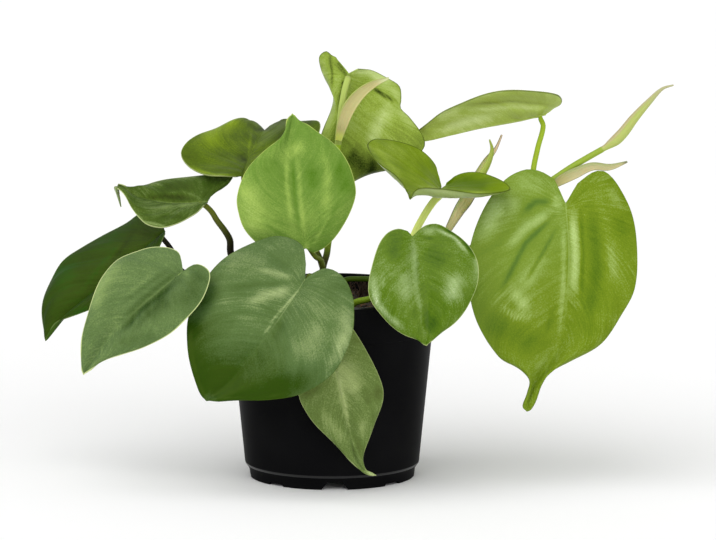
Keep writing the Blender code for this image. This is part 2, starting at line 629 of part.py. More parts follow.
def add_new_leaf(name, line, collection):
    points = [seen(x, up, y) for x, up, y, thickness in line]
    spear = make_object(name, tube(points, [point[3] for point in line]), collection,
                        make_material(name, "new_leaf"))
    smooth(spear)


def add_sheath(name, line, collection):
    """A dry sheath: a narrow blade bent into a channel that opens upwards."""
    spine = flowing_line([Vector((*seen(x, up, y), width * MM)) for x, up, y, width in line])
    grid = bmesh.new()
    bmesh.ops.create_grid(grid, x_segments=4, y_segments=9, size=1)
    for vertex in grid.verts:
        along, turn = (vertex.co.y + 1) / 2, vertex.co.x * math.radians(75)
        forward = (spine(min(along + 0.02, 1)) - spine(max(along - 0.02, 0))).xyz.normalized()
        side = forward.cross(Vector((0, -1, 0))).normalized()
        front = side.cross(forward)
        radius = spine(along).w / 2
        out = side * math.sin(turn) + front * (0.5 - math.cos(turn)) * 0.6
        vertex.co = spine(along).xyz + out * radius
    bmesh.ops.triangulate(grid, faces=grid.faces)
    mesh = bpy.data.meshes.new(name)
    grid.to_mesh(mesh)
    grid.free()
    sheath = make_object(name, mesh, collection, make_material(name, "sheath_tan"))
    thick = sheath.modifiers.new("thickness", "SOLIDIFY")
    thick.thickness = 0.7 * MM
    thick.offset = 0
    apply_modifiers(sheath)
    smooth(sheath)


def main():
    for thing in list(bpy.data.objects):
        bpy.data.objects.remove(thing)
    scene = bpy.context.scene.collection
    plant = bpy.data.collections.new("potted_philodendron")
    scene.children.link(plant)
    pot_cutters = make_cutter_collection("pot_cutters", scene)
    soil_cutters = make_cutter_collection("soil_cutters", scene)
    add_pot(plant, pot_cutters)
    add_soil(plant, soil_cutters)
    blades = {name: add_blade(name, leaf, plant) for name, leaf in LEAVES.items()}
    for name, stem in STEMS.items():
        add_stem(name, stem, blades, plant)
    for name, line in NEW_LEAVES.items():
        add_new_leaf(name, line, plant)
    for name, line in SHEATHS.items():
        add_sheath(name, line, plant)


main()
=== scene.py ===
"""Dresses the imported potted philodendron, in metres with +Z up.

The viewer looks along +Y. Plant points are (x, up, y) in millimetres: x to the right, up as it looks
from the front, from VIEW_RISE above the table, and y away from the viewer.
"""

import math
import random
from bisect import bisect_right
from contextlib import contextmanager

import bpy
from mathutils import Matrix, Vector, noise


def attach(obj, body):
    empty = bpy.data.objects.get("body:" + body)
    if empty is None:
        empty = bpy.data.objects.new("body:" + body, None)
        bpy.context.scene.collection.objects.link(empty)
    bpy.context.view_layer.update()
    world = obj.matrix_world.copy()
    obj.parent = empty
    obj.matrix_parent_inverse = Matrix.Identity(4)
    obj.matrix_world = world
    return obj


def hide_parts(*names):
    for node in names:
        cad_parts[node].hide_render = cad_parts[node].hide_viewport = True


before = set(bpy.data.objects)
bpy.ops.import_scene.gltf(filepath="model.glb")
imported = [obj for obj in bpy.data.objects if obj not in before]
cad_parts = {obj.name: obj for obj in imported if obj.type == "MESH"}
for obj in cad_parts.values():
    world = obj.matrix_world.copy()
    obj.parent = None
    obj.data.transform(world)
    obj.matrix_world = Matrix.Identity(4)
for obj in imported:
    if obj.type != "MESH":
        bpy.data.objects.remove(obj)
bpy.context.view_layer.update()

MM = 0.001

# View and stage: the sensor is in millimetres, the other lengths are in metres
VIEW_RISE = math.radians(10)
TO_VIEWER = Vector((0, -1, 0))
VIEW_WIDTH = 0.4224
VIEW_CENTRE = Vector((0.0153, 0.0209, 0.1186))
CAMERA_DISTANCE = 6.0
SENSOR_WIDTH = 36
FLOOR_SIZE = 30

# Pot and soil, as in the part. A cut between two feet is its width below, its width above and its
# height, and the first arch is at FIRST_ARCH degrees.
POT_HEIGHT = 110
RIM_RADIUS = 60
RIM_BAND = 22
BAND_STEP = 1.0
SHOULDER = 8.5
SHOULDER_STEP = 1.9
TAPER = 0.10
WALL = 1.4
FOOT_RADIUS = 48.6
FOOT_RING = 3.2
FOOT_HEIGHT = 5.0
FLOOR_THICKNESS = 1.4
BASE_DISC_RADIUS = 20
DISC_SLOPE = 5
DRAIN_RADIUS = 3.5
ARCH = (17, 9, 4.6)
NOTCH = (12.5, 11, 1.5)
FIRST_ARCH = -88
SOIL_LEVEL = 98
HOLE_DEPTH = 18

# Soil looks. A fibre shape is its bend and its height.
SOIL_GAP = 1.3
SOIL_CELLS = 110
CRUMBS = 220
CRUMB_SHAPES = 6
CRUMB_SEED = 7
FIBRES = 46
FIBRE_SEED = 11
FIBRE_SHAPES = ((1.6, 12), (-1.2, 14), (0.8, 10))
BARK_COLOURS = (("1C120B", "4A3220"), ("3A2818", "7A5B3C"), ("0E0A07", "2A1C12"))

# Fineness of the plant's grids. A stalk has a ring for each STALK_STEP.
LEAF_COLUMNS = 64
LEAF_ROWS = 84
STALK_STEP = 1.1
FEWEST_RINGS = 10
SHEATH_COLUMNS = 18
SHEATH_ROWS = 60

# Leaf relief, in millimetres but for the number of veins and the crease, a share of the half width.
# It calms down near the midrib and near the edge.
BLADE_THICKNESS = 0.7
MAIN_VEINS = 9
SOFTEST_CREASE = 0.16
WIDEST_FOLD = 3.5
GROOVE_DEPTH = 0.5
GROOVE_WIDTH = 1.2
QUILT_HEIGHT = 0.12
RIPPLE_HEIGHT = 0.55
FINE_RIPPLE_HEIGHT = 0.16
WAVE_HEIGHT = 0.5
STROKE_HEIGHT = 0.24
CALM_RIB = 4
CALM_EDGE = 5

# Leaf looks. greens are deep, middle and pale. rib is how clear the midrib is, how wide its pale
# line is and where it fades. margin is its colour, how clear it is and its width. streak is how
# clear the fine veins are, and mottle how uneven the green is between them. crease is how sharp the
# fold at the midrib is, painted_glints how clear the painted glints on pale strokes are and coat how
# glossy the leaf is. painted_sheen is a painted grey-green sheen over the upper left, and its share.
PALE_EDGE = "CBD596"
DARK_EDGE = "3C4A16"
# The white green of the painted glints on the pale strokes
PAINTED_GLINT = "DCE8C8"
TOP_RIGHT_GREENS = ("829032", "ACBF57", "DAE89E")
TOP_CENTRE_GREENS = ("1A2C04", "899F3C", "B6C87A")
LEAF_LOOKS = {
    "leaf_right_large": {
        "greens": ("2F5504", "687F16", "A4BA70"), "rib": (0.3, 1.2, 0.8), "margin": (DARK_EDGE, 0.3, 0.45),
        "streak": 0.42, "roughness": 0.36, "crease": 0.4, "mottle": 0.55, "painted_sheen": ("7C9C50", 0.24)},
    "leaf_top_right": {
        "greens": TOP_RIGHT_GREENS, "rib": (0.2, 1.5, 0.9), "margin": (DARK_EDGE, 0.7, 0.7),
        "streak": 0.35, "roughness": 0.42, "underside": TOP_RIGHT_GREENS},
    "leaf_top_centre": {
        "greens": TOP_CENTRE_GREENS, "rib": (0.2, 1.5, 0.9), "margin": (DARK_EDGE, 0.7, 0.7),
        "streak": 0.5, "roughness": 0.34, "underside": TOP_CENTRE_GREENS},
    "leaf_upright": {
        "greens": ("3B6804", "658636", "9CB558"), "rib": (0.0, 1.2, 0.85), "margin": ("BFCB6E", 0.6, 0.5),
        "streak": 0.25, "roughness": 0.38, "crease": 0.0},
    "leaf_small_curved": {
        "greens": ("4D6804", "708816", "A3B74E"), "rib": (0.15, 1.2, 0.8), "margin": (DARK_EDGE, 0.7, 0.7),
        "streak": 0.3, "roughness": 0.40, "underside": ("76883E", "8FA05A", "A9B87C")},
    "leaf_small_glossy": {
        "greens": ("063B04", "4F6D10", "98AE76"), "rib": (0.0, 1.2, 0.9), "margin": ("C4CE8E", 0.5, 0.5),
        "streak": 0.25, "roughness": 0.3, "coat": 0.12, "crease": 0.0, "painted_glints": 0.5, "mottle": 0.75},
    "leaf_front_large": {
        "greens": ("1F3C04", "4D663A", "95A571"), "rib": (0.35, 0.9, 0.7), "margin": (DARK_EDGE, 0.5, 0.45),
        "streak": 0.45, "roughness": 0.40, "crease": 0.35, "mottle": 0.75},
    "leaf_front_hanging": {
        "greens": ("2E2B0B", "5C713A", "A3B274"), "rib": (0.35, 1.2, 0.8), "margin": (PALE_EDGE, 0.35, 0.4),
        "streak": 0.3, "roughness": 0.44, "mottle": 0.6},
    "leaf_left_front": {
        "greens": ("143408", "546C40", "8CA263"), "rib": (0.15, 1.2, 0.8), "margin": (PALE_EDGE, 0.8, 0.7),
        "streak": 0.4, "roughness": 0.42, "crease": 0.35, "mottle": 0.6},
    "leaf_left_back": {
        "greens": ("041804", "223C04", "054B04"), "rib": (0.2, 1.2, 0.8), "margin": ("8A9A5A", 0.4, 0.4),
        "streak": 0.45, "roughness": 0.40, "underside": ("223A0C", "304E16", "466626")},
    "leaf_left_mid": {
        "greens": ("1A2604", "3D5419", "7F9356"), "rib": (0.35, 1.2, 0.8), "margin": (PALE_EDGE, 0.6, 0.5),
        "streak": 0.5, "roughness": 0.38},
    "leaf_top_left": {
        "greens": ("041004", "4D630D", "81991A"), "rib": (0.1, 1.2, 0.8), "margin": (PALE_EDGE, 0.45, 0.45),
        "streak": 0.4, "roughness": 0.42},
}
UNDERSIDE = ("5E7638", "7C9250", "9DB074")

# Stalks. u runs around a stalk from its right side over its front. Fullness scales the part's
# thickness, by stem and number of the route. A winged stalk is broad, with the given share of its
# width left at the blade.
FRONT = 0.25
STALK_SIDES = 16
USUAL_FULLNESS = 1.15
STALK_FULLNESS = {
    ("stem_centre", 0): 0.8, ("stem_centre", 2): 1.0, ("stem_left", 0): 1.2, ("stem_right", 0): 0.8,
    ("stem_middle", 0): 1.0, ("stem_middle", 1): 0.76}
WINGED_STALKS = {"leaf_small_curved": 0.62, "leaf_top_centre": 1.0}
WING_NARROWS = (0.6, 0.9)

# Stalk colours, by stem or by leaf for a stalk of its own: dark, pale, the colour at the foot and the
# heights between which that fades
STALK_COLOURS = {
    "stem_left": ("424A0E", "646E1E", "161004", (134, 164)),
    "stem_front": ("4A5A1A", "66782A", "3A3812", (96, 118)),
    "stem_centre": ("6A8A14", "98B830", "3C3A12", (128, 143)),
    "stem_middle": ("56740E", "7F9C20", "4E6610", (96, 112)),
    "stem_right": ("6C8A0A", "9CB42C", "46600A", (116, 124)),
    "leaf_upright": ("5A661C", "7A8A30", "3A3612", (120, 130)),
    "leaf_top_left": ("56641E", "72802E", "3A3812", (124, 142)),
    "leaf_small_curved": ("96B43A", "DCE882"),
    "leaf_top_centre": ("7E943A", "A8BA5E"),
}

# Where a stalk meets its leaf: it comes up under the seat and goes on behind the midrib as a keel,
# given as share along the midrib and depth. KEEL_TAPER is its thickness there, from the seat on.
NEAR_SEAT = 9.0
APPROACH = 4.2
SEAT_DEPTH = 1.6
KEEL = ((0.10, 1.15), (0.22, 0.9), (0.45, 0.8))
KEEL_TAPER = (0.9, 0.5, 0.34, 0.1)
KEEL_REACH = {"leaf_top_right": 0.24, "leaf_right_large": 0.3}

# Rolled new leaves: where the free edge lies around the roll, how much it stands out and how far the
# roll goes on inside its stalk. The colours are stalk, side, free edge and tip, and the last number is
# where the stalk ends, by share of the length.
ROLL_SIDES = 28
FREE_EDGE = 0.36
EDGE_STEP = 0.16
ROLL_STALK_FULLNESS = 1.02
HIDDEN_SHARE = 0.45
NEW_LEAF_COLOURS = {
    "new_leaf_right": ("8CA428", "B0BA64", "B8A484", "B2AC88", 0.405),
    "new_leaf_middle": ("8A9C26", "98A83A", "AEBC5C", "9CAA44", 0.2),
}

# Sheath looks: left and right are the flanks with their shares across, neck is the green neck with
# its end and tip the tip with its start, by share of the length
SHEATH_THICKNESS = 0.55
SHEATH_HALF_TURN = math.radians(62)
SHEATH_LOOKS = {
    "sheath_right": {
        "core": "C0BA86", "fibre": "AC9A6E", "left": ("B4BC80", 0.15, 0.5), "right": ("C8BA8C", 0.7, 1.0),
        "neck": ("B8B070", 0.3), "tip": ("6A6E52", 0.9), "edge": "9AA070"},
    "sheath_top": {
        "core": "B8B276", "fibre": "B08E6C", "left": ("B8BC74", 0.04, 0.2), "right": ("C8BC82", 0.8, 1.0),
        "neck": ("D2E066", 0.16), "tip": ("D4DCA6", 0.78), "edge": "A2B058"},
    "sheath_middle": {
        "core": "F2E8AC", "fibre": "DEC890", "left": ("CCD68A", 0.1, 0.45), "right": ("D0C49C", 0.8, 1.0),
        "neck": ("C4BC86", 0.25), "tip": ("D8BCA0", 0.7), "edge": "6A6648"},
}

# Leaves: left and right are for a viewer who faces the upper side with the tip down. Both end in the
# last point of the midrib, the tip. A point is (x, up) or (x, up, further back). depth is y at the
# base of the midrib, lean its change for each millimetre up, turn for each millimetre to the right.
# bow brings the middle of the leaf to the front, dome lifts the halves and fold sinks the midrib.
LEAVES = {
    "leaf_right_large": {
        "depth": -11, "lean": 0.26, "turn": 0.05, "bow": 9, "dome": 5.0, "fold": 4.0,
        "midrib": [(137, 159.5), (139, 130.5), (137.5, 102.5), (134.5, 82), (127, 66), (120, 55), (116, 46),
                   (114, 37.8)],
        "left": [(130.5, 173.5), (122.5, 178), (113.5, 179), (101.5, 173), (89, 156.5), (81, 134.5),
                 (80, 111.5), (85, 89.5), (97.5, 70), (109.5, 63.5), (115.5, 56.5), (114, 48.5),
                 (111.8, 40.5)],
        "right": [(144, 171), (154, 178), (160.5, 178), (168, 170), (176, 153), (178.5, 132), (177, 109.5),
                  (170, 95), (158, 78), (140, 68), (128, 60.5), (123, 53.5), (119.8, 46), (116.5, 38.8)],
    },
    "leaf_top_right": {
        "depth": 24, "turn": -0.07, "dome": 2.0,
        "midrib": [(125.5, 212.5), (109, 208.5), (86.5, 204), (70, 200), (54.5, 196.5), (42.5, 196)],
        "left": [(128.5, 215, 5), (132, 219, 16), (127.5, 222, 25), (114, 222, 28), (93, 216, 25),
                 (72.5, 207.5, 17), (56.5, 200.5, 7)],
        "right": [(130, 215, -3), (134, 217.5, -10), (135, 220.5, -17), (132, 223.5, -23), (122.5, 225, -27),
                  (100.5, 225, -27), (84.5, 222, -23), (69, 215, -16), (55.5, 206.5, -7)],
    },
    "leaf_top_centre": {
        "depth": 12, "dome": -5.0,
        "midrib": [(10, 236), (6.5, 220.5), (3.5, 203), (1, 185.5), (-0.5, 166.5)],
        "left": [(15.5, 238.5, 2), (23.5, 238, 10), (32.5, 233.5, 14), (39.5, 228.5, 12), (40.5, 221, 8),
                 (40, 215.5, 6), (45.5, 210, 6), (53.5, 199.5, 6), (54.5, 193, 5), (48.5, 186.5, 4),
                 (37, 181, 3), (23.5, 177, 2), (10.5, 171.5, 1)],
        "right": [(2, 245.5, 4), (-1, 247, 6), (-3.5, 249, 9), (-7, 246, 12), (-6, 239.5, 12),
                  (-3, 231.5, 10), (0.5, 223.5, 6), (-0.5, 215, 4), (-6, 199, 4), (-9.5, 188, 4),
                  (-8.5, 176.5, 2)],
    },
    "leaf_upright": {
        "depth": -24, "lean": 0.24, "bow": 6, "dome": 3.0, "fold": 4.0,
        "midrib": [(-15.5, 133), (-16.5, 145.5), (-19.5, 160.5), (-24, 180.5), (-25, 197), (-23, 212)],
        "left": [(-10.5, 130.5), (-4.5, 133.5), (2.5, 140.5), (9, 150.5), (13, 160), (14, 167.5),
                 (11, 179.5), (6, 189), (0, 195.5), (-8.5, 201), (-14, 205.5), (-19.5, 208.5)],
        "right": [(-19.5, 130.5), (-27.5, 129), (-38, 131.5), (-45.5, 137.5), (-51.5, 145), (-54.5, 154),
                  (-55.5, 162), (-53, 172.5), (-48.5, 181), (-39, 190), (-31.5, 196.5), (-27.5, 202),
                  (-26, 208.5)],
    },
    "leaf_small_curved": {
        "depth": -8, "dome": -3.0,
        "midrib": [(64.5, 168.5, 0), (61.5, 166, -15), (56, 165, -30), (50, 165, -45), (45.5, 161.5, -56)],
        "left": [(63, 175, 6), (60.5, 181.5, 12), (55.5, 187.5, 12), (49.5, 192, 10), (40.5, 195.5, 4),
                 (31.5, 197, -2), (24, 196.5, -10), (20.5, 193.5, -16), (22.5, 189, -24), (28.5, 182.5, -34),
                 (38, 174, -46), (42.5, 169.5, -52)],
        "right": [(67.5, 171, 6), (72, 175, 12), (78, 177.5, 14), (85.5, 178, 12), (93, 176, 6),
                  (101, 171.5, -6), (104.5, 167.5, -14), (101, 166, -20), (91.5, 165.5, -27),
                  (81.5, 165.5, -34), (71, 166.5, -41), (61.5, 168, -47), (54.5, 168.5, -51),
                  (49.5, 167, -54)],
    },
    "leaf_small_glossy": {
        "depth": -58, "lean": 0.3, "turn": -0.05, "bow": 5, "dome": 4.5, "fold": 2.0,
        "midrib": [(47, 140), (52, 125), (55.5, 108.5), (56.5, 94), (55, 76.5)],
        "left": [(44, 143), (38.5, 144), (32.5, 141.5), (27.5, 135), (23.5, 123.5), (21.5, 111.5),
                 (22.5, 104), (26.5, 97), (33.5, 89), (42.5, 83), (50, 79.5)],
        "right": [(51.5, 144), (56, 146.5), (62, 147), (70, 143), (76.5, 138), (82, 131), (85, 122.5),
                  (84.5, 111.5), (79, 99.5), (71, 89.5), (63.5, 83.5), (58.5, 80)],
    },
    "leaf_front_large": {
        "depth": -64, "lean": 0.42, "turn": -0.25, "bow": 7, "dome": 4.5, "fold": 4.0,
        "midrib": [(-15.5, 115), (-25, 102.5), (-41.5, 80), (-59, 56.5), (-73, 44.5)],
        "left": [(-15, 124), (-17, 134), (-24, 138.5), (-33.5, 140), (-46, 136.5), (-60.5, 129),
                 (-70.5, 119), (-79.5, 104), (-84, 91), (-84, 78), (-81.5, 63.5), (-77.5, 50.5)],
        "right": [(-11, 118), (-4, 121), (2.5, 119.5), (8.5, 114), (12.5, 104), (13, 95.5), (12.5, 86),
                  (9.5, 75.5), (2.5, 62.5), (-7, 54), (-19.5, 48), (-35.5, 45.5), (-54.5, 44.5)],
    },
    "leaf_front_hanging": {
        "depth": -66.7, "lean": -0.06, "turn": 0.08, "bow": 3, "dome": 1.5, "fold": 1.5,
        "midrib": [(-2.5, 81.5), (2.5, 60), (9, 30.5), (16, 6.5), (26, 0.5)],
        "left": [(-7, 86), (-14, 84), (-19.5, 73), (-21, 60), (-19, 46.5), (-15.5, 39), (-9.5, 30.5),
                 (-0.5, 21), (8.5, 12), (16.5, 3.5), (20.5, 1)],
        "right": [(2.5, 89.5), (8.5, 91.5), (12.5, 86), (18.5, 76.5), (25.5, 63), (29.5, 52.5), (30, 46),
                  (28.5, 39.5), (23.5, 27.5), (19.5, 16.5), (18.5, 8.5), (20.5, 2.5)],
    },
    "leaf_left_front": {
        "depth": -54, "lean": 0.45, "turn": -0.15, "bow": 6, "dome": 3.5, "fold": 3.5,
        "midrib": [(-86.5, 119.5), (-98.5, 111.5), (-116, 97), (-132, 79), (-144.5, 59.5)],
        "left": [(-87.5, 125), (-89.5, 130.5), (-95.5, 133), (-104.5, 133.5), (-112, 132), (-124.5, 127),
                 (-133, 117), (-139, 104.5), (-143.5, 89.5), (-146, 73), (-145.5, 63.5)],
        "right": [(-84, 121), (-79, 123.5), (-74.5, 122.5), (-71, 119), (-71.5, 112.5), (-76, 102),
                  (-85, 91.5), (-94.5, 83), (-108, 76), (-122, 71.5), (-134.5, 66.5), (-141, 62)],
    },
    "leaf_left_back": {
        "depth": 5, "lean": 0.67, "turn": -0.74, "bow": 5, "dome": 2.5, "fold": 2.0,
        "midrib": [(-98.5, 143.5), (-113.5, 132), (-134, 114.5), (-154.5, 97), (-169, 78.5)],
        "left": [(-99.5, 147.5), (-105.5, 153), (-113.5, 153), (-120.5, 148.5), (-134.5, 141.5), (-148, 133),
                 (-159.5, 125), (-166, 115), (-170, 104), (-171, 90.5)],
        "right": [(-98, 141.5), (-101.5, 133.5), (-107.5, 120.5), (-119, 108.5), (-131, 101.5), (-142.5, 97),
                  (-156.5, 92), (-163.5, 88), (-167.5, 82.5)],
    },
    "leaf_left_mid": {
        "depth": -2, "dome": 1.5, "fold": 1.0,
        "midrib": [(-73, 160.5), (-95.5, 160.5), (-113.5, 164), (-121.5, 168.5), (-126.5, 169.5),
                   (-124, 157.5, 8)],
        "left": [(-69.5, 166, 8), (-63.5, 169.5, 13), (-59.5, 173, 16), (-58.5, 175, 18), (-63.5, 176, 20),
                 (-75, 176.5, 20), (-92, 174, 18), (-107.5, 171, 12), (-118, 167, 5), (-121, 170, 2),
                 (-124.5, 171, 2), (-125.5, 168.5, 6)],
        "right": [(-75, 158, -4), (-79, 154, -9), (-84, 151, -13), (-91, 147.5, -17), (-99.5, 145, -19),
                  (-107.5, 146.5, -18), (-112.5, 150.5, -14), (-117.5, 157, -9), (-121, 163.5, -5),
                  (-124.5, 167.5, -2), (-127.5, 169.5, 2), (-126.5, 166, 6)],
    },
    "leaf_top_left": {
        "depth": 14, "dome": 2.0,
        "midrib": [(-52.5, 176, 0), (-49, 187, 20), (-44, 199, 44), (-40, 203.5, 60), (-39.5, 196, 78)],
        "left": [(-48.5, 175, -3), (-36.5, 173.5, -2), (-24, 177, 2), (-14, 186, 14), (-9, 197, 27),
                 (-7.5, 207.5, 40), (-19.5, 209, 50), (-28.5, 209.5, 58), (-34, 204, 67)],
        "right": [(-56.5, 175, -3), (-65, 175.5, -7), (-74, 176.5, -5), (-83, 180.5, 3), (-88, 185.5, 10),
                  (-89, 190, 16), (-85.5, 195.5, 24), (-78.5, 200.5, 33), (-69, 204.5, 42), (-59, 209, 51),
                  (-52, 210, 58), (-47, 207.5, 64), (-43.5, 203, 71)],
    },
}

# Stems: root is (x, y) in the soil. A route is (x, up, y) points with the thickness at its start and
# its end. It may start from the root and may end on the underside of a leaf.
STEMS = {
    "stem_left": {
        "root": (-38, -4), "thickness": 5.0,
        "routes": [
            {"rooted": True, "leaf": "leaf_left_mid", "thickness": (4.2, 2.8),
             "points": [(-46, 108, -3), (-55, 118, -1), (-59.5, 130.5, 0), (-60, 138, 0), (-63, 143.5, -1),
                        (-67.5, 149.5, 0), (-71, 155, 1)]},
            {"rooted": True, "leaf": "leaf_left_front", "thickness": (3.4, 2.6),
             "points": [(-44, 106, -14), (-56, 112, -28), (-68, 115, -40), (-79, 117, -46)]},
            {"rooted": True, "leaf": "leaf_left_back", "thickness": (3.4, 2.6),
             "points": [(-46, 105, -2), (-56, 111.8, 0), (-66, 113, 2), (-78, 114.8, 4), (-90, 121.5, 5),
                        (-94.2, 132, 6)]},
        ],
    },
    "stem_front": {
        "root": (-8, -36), "thickness": 4.6,
        "routes": [
            {"rooted": True, "leaf": "leaf_front_large", "thickness": (3.4, 2.8),
             "points": [(-10, 110, -43), (-13, 117, -53)]},
            {"rooted": True, "leaf": "leaf_front_hanging", "thickness": (3.0, 2.2),
             "points": [(-6, 110, -45), (-4, 113, -56), (-3, 107, -62.6), (-2.7, 96, -63.8),
                        (-2.5, 85, -63.8)]},
        ],
    },
    "stem_centre": {
        "root": (-5, -2), "thickness": 5.4,
        "routes": [
            {"rooted": True, "thickness": (5.0, 4.6),
             "points": [(-5.3, 112, -4), (-5.3, 121.5, -5), (-3, 130, -1), (-2.4, 134.5, 1), (0, 150, 4),
                        (2, 165, 5), (3, 180, 5), (3.5, 194, 4)]},
            {"leaf": "leaf_upright", "thickness": (3.2, 2.6),
             "points": [(-5.3, 121.5, -5), (-6.5, 126, -9), (-10, 128.6, -15)]},
            {"leaf": "leaf_top_centre", "thickness": (3.4, 3.0),
             "points": [(3.5, 194, 4), (4.5, 204, 1.6), (5.5, 214, 1.4), (7.5, 226, 3.2),
                        (9.3, 232.5, 5.6)]},
            {"leaf": "leaf_top_left", "thickness": (3.2, 2.6),
             "points": [(-5.3, 121.5, -5), (-9, 131, 0), (-18, 141, 4), (-32, 153, 8), (-45, 165, 12),
                        (-51, 170.5, 14.5)]},
        ],
    },
    "stem_middle": {
        "root": (10, -33), "thickness": 4.6,
        "routes": [
            {"rooted": True, "thickness": (4.4, 2.8),
             "points": [(13, 101, -36), (24, 104.2, -38), (36, 112, -39), (45, 120, -38), (56, 132, -36),
                        (64, 141, -33.5), (67.7, 144, -30)]},
            {"leaf": "leaf_small_curved", "thickness": (4.4, 5.0),
             "points": [(36, 112, -39), (43, 126, -35), (47.8, 140.4, -30), (53.5, 151.5, -22),
                        (59.5, 160.5, -13), (63.5, 164.5, -9.5)]},
            {"leaf": "leaf_small_glossy", "thickness": (3.2, 2.6),
             "points": [(64, 141, -34), (62, 142, -42), (56, 142.5, -50)]},
        ],
    },
    "stem_right": {
        "root": (0, 15), "thickness": 4.8,
        "routes": [
            {"rooted": True, "thickness": (3.7, 4.6),
             "points": [(2, 110, 14), (8, 114.6, 12), (16, 115.2, 11), (24, 115.1, 10), (45, 117, 6),
                        (58, 121, 3), (84, 135, 0), (111, 158, 2), (122, 167, 4), (130, 173.5, 4)]},
            {"leaf": "leaf_right_large", "thickness": (3.2, 2.8),
             "points": [(111, 158, 2), (120, 160, 0), (129, 160, -4)]},
            {"leaf": "leaf_top_right", "thickness": (3.2, 2.6),
             "points": [(122, 167, 4), (119.5, 172, 8), (118.3, 178, 11), (121, 192, 16), (124.3, 205, 21)]},
        ],
    },
}

# Rolled new leaves: (x, up, y, thickness) from the stalk to the tip
NEW_LEAVES = {
    "new_leaf_right": [(130.9, 174.2, 4.1, 3.8), (141, 181, 5, 3.7), (152, 187.5, 6, 3.6),
                       (160.5, 192.3, 6.9, 3.8), (163.5, 194.3, 7.2, 5.2), (167, 196.8, 7.8, 6.5),
                       (171.5, 201.5, 8.4, 6.5), (177.6, 209.5, 9.4, 5.5), (187, 220, 10.6, 3.6),
                       (194, 226.8, 11.4, 1.9), (200.6, 229, 12, 0.9)],
    "new_leaf_middle": [(84.5, 171, 11.5, 4.4), (89, 178, 13.6, 4.4), (92.8, 185.5, 15.9, 3.4),
                        (94.2, 191.5, 17.4, 2.2), (92.7, 197.2, 18, 0.9)],
}

# Sheaths: (x, up, y, width) from the base to the tip
SHEATHS = {
    "sheath_right": [(131.4, 171.2, 1.2, 5.2), (136, 173.9, 1.3, 6.6), (142.3, 177, 1.9, 7.0),
                     (152.8, 181.2, 3.8, 5.2), (163.4, 180.9, 7, 4.0), (173.6, 184, 10, 1.0)],
    "sheath_top": [(3.7, 196.3, 0.4, 4.4), (6.1, 205.5, -2.9, 7.2), (9.9, 215, -3.2, 8.4),
                   (16.4, 223.5, -2.4, 7.2), (24.2, 229.2, -1.2, 4.8), (33.5, 232.8, 0, 1.2)],
    "sheath_middle": [(68.3, 144.5, -29.5, 4.6), (75, 156, -9, 7.5), (79.5, 162.5, 4.5, 8.5),
                      (85, 173, 15, 7.5), (91, 184.5, 18.5, 4.5), (96.5, 192, 20, 2.0),
                      (100, 200, 21, 0.9)],
}
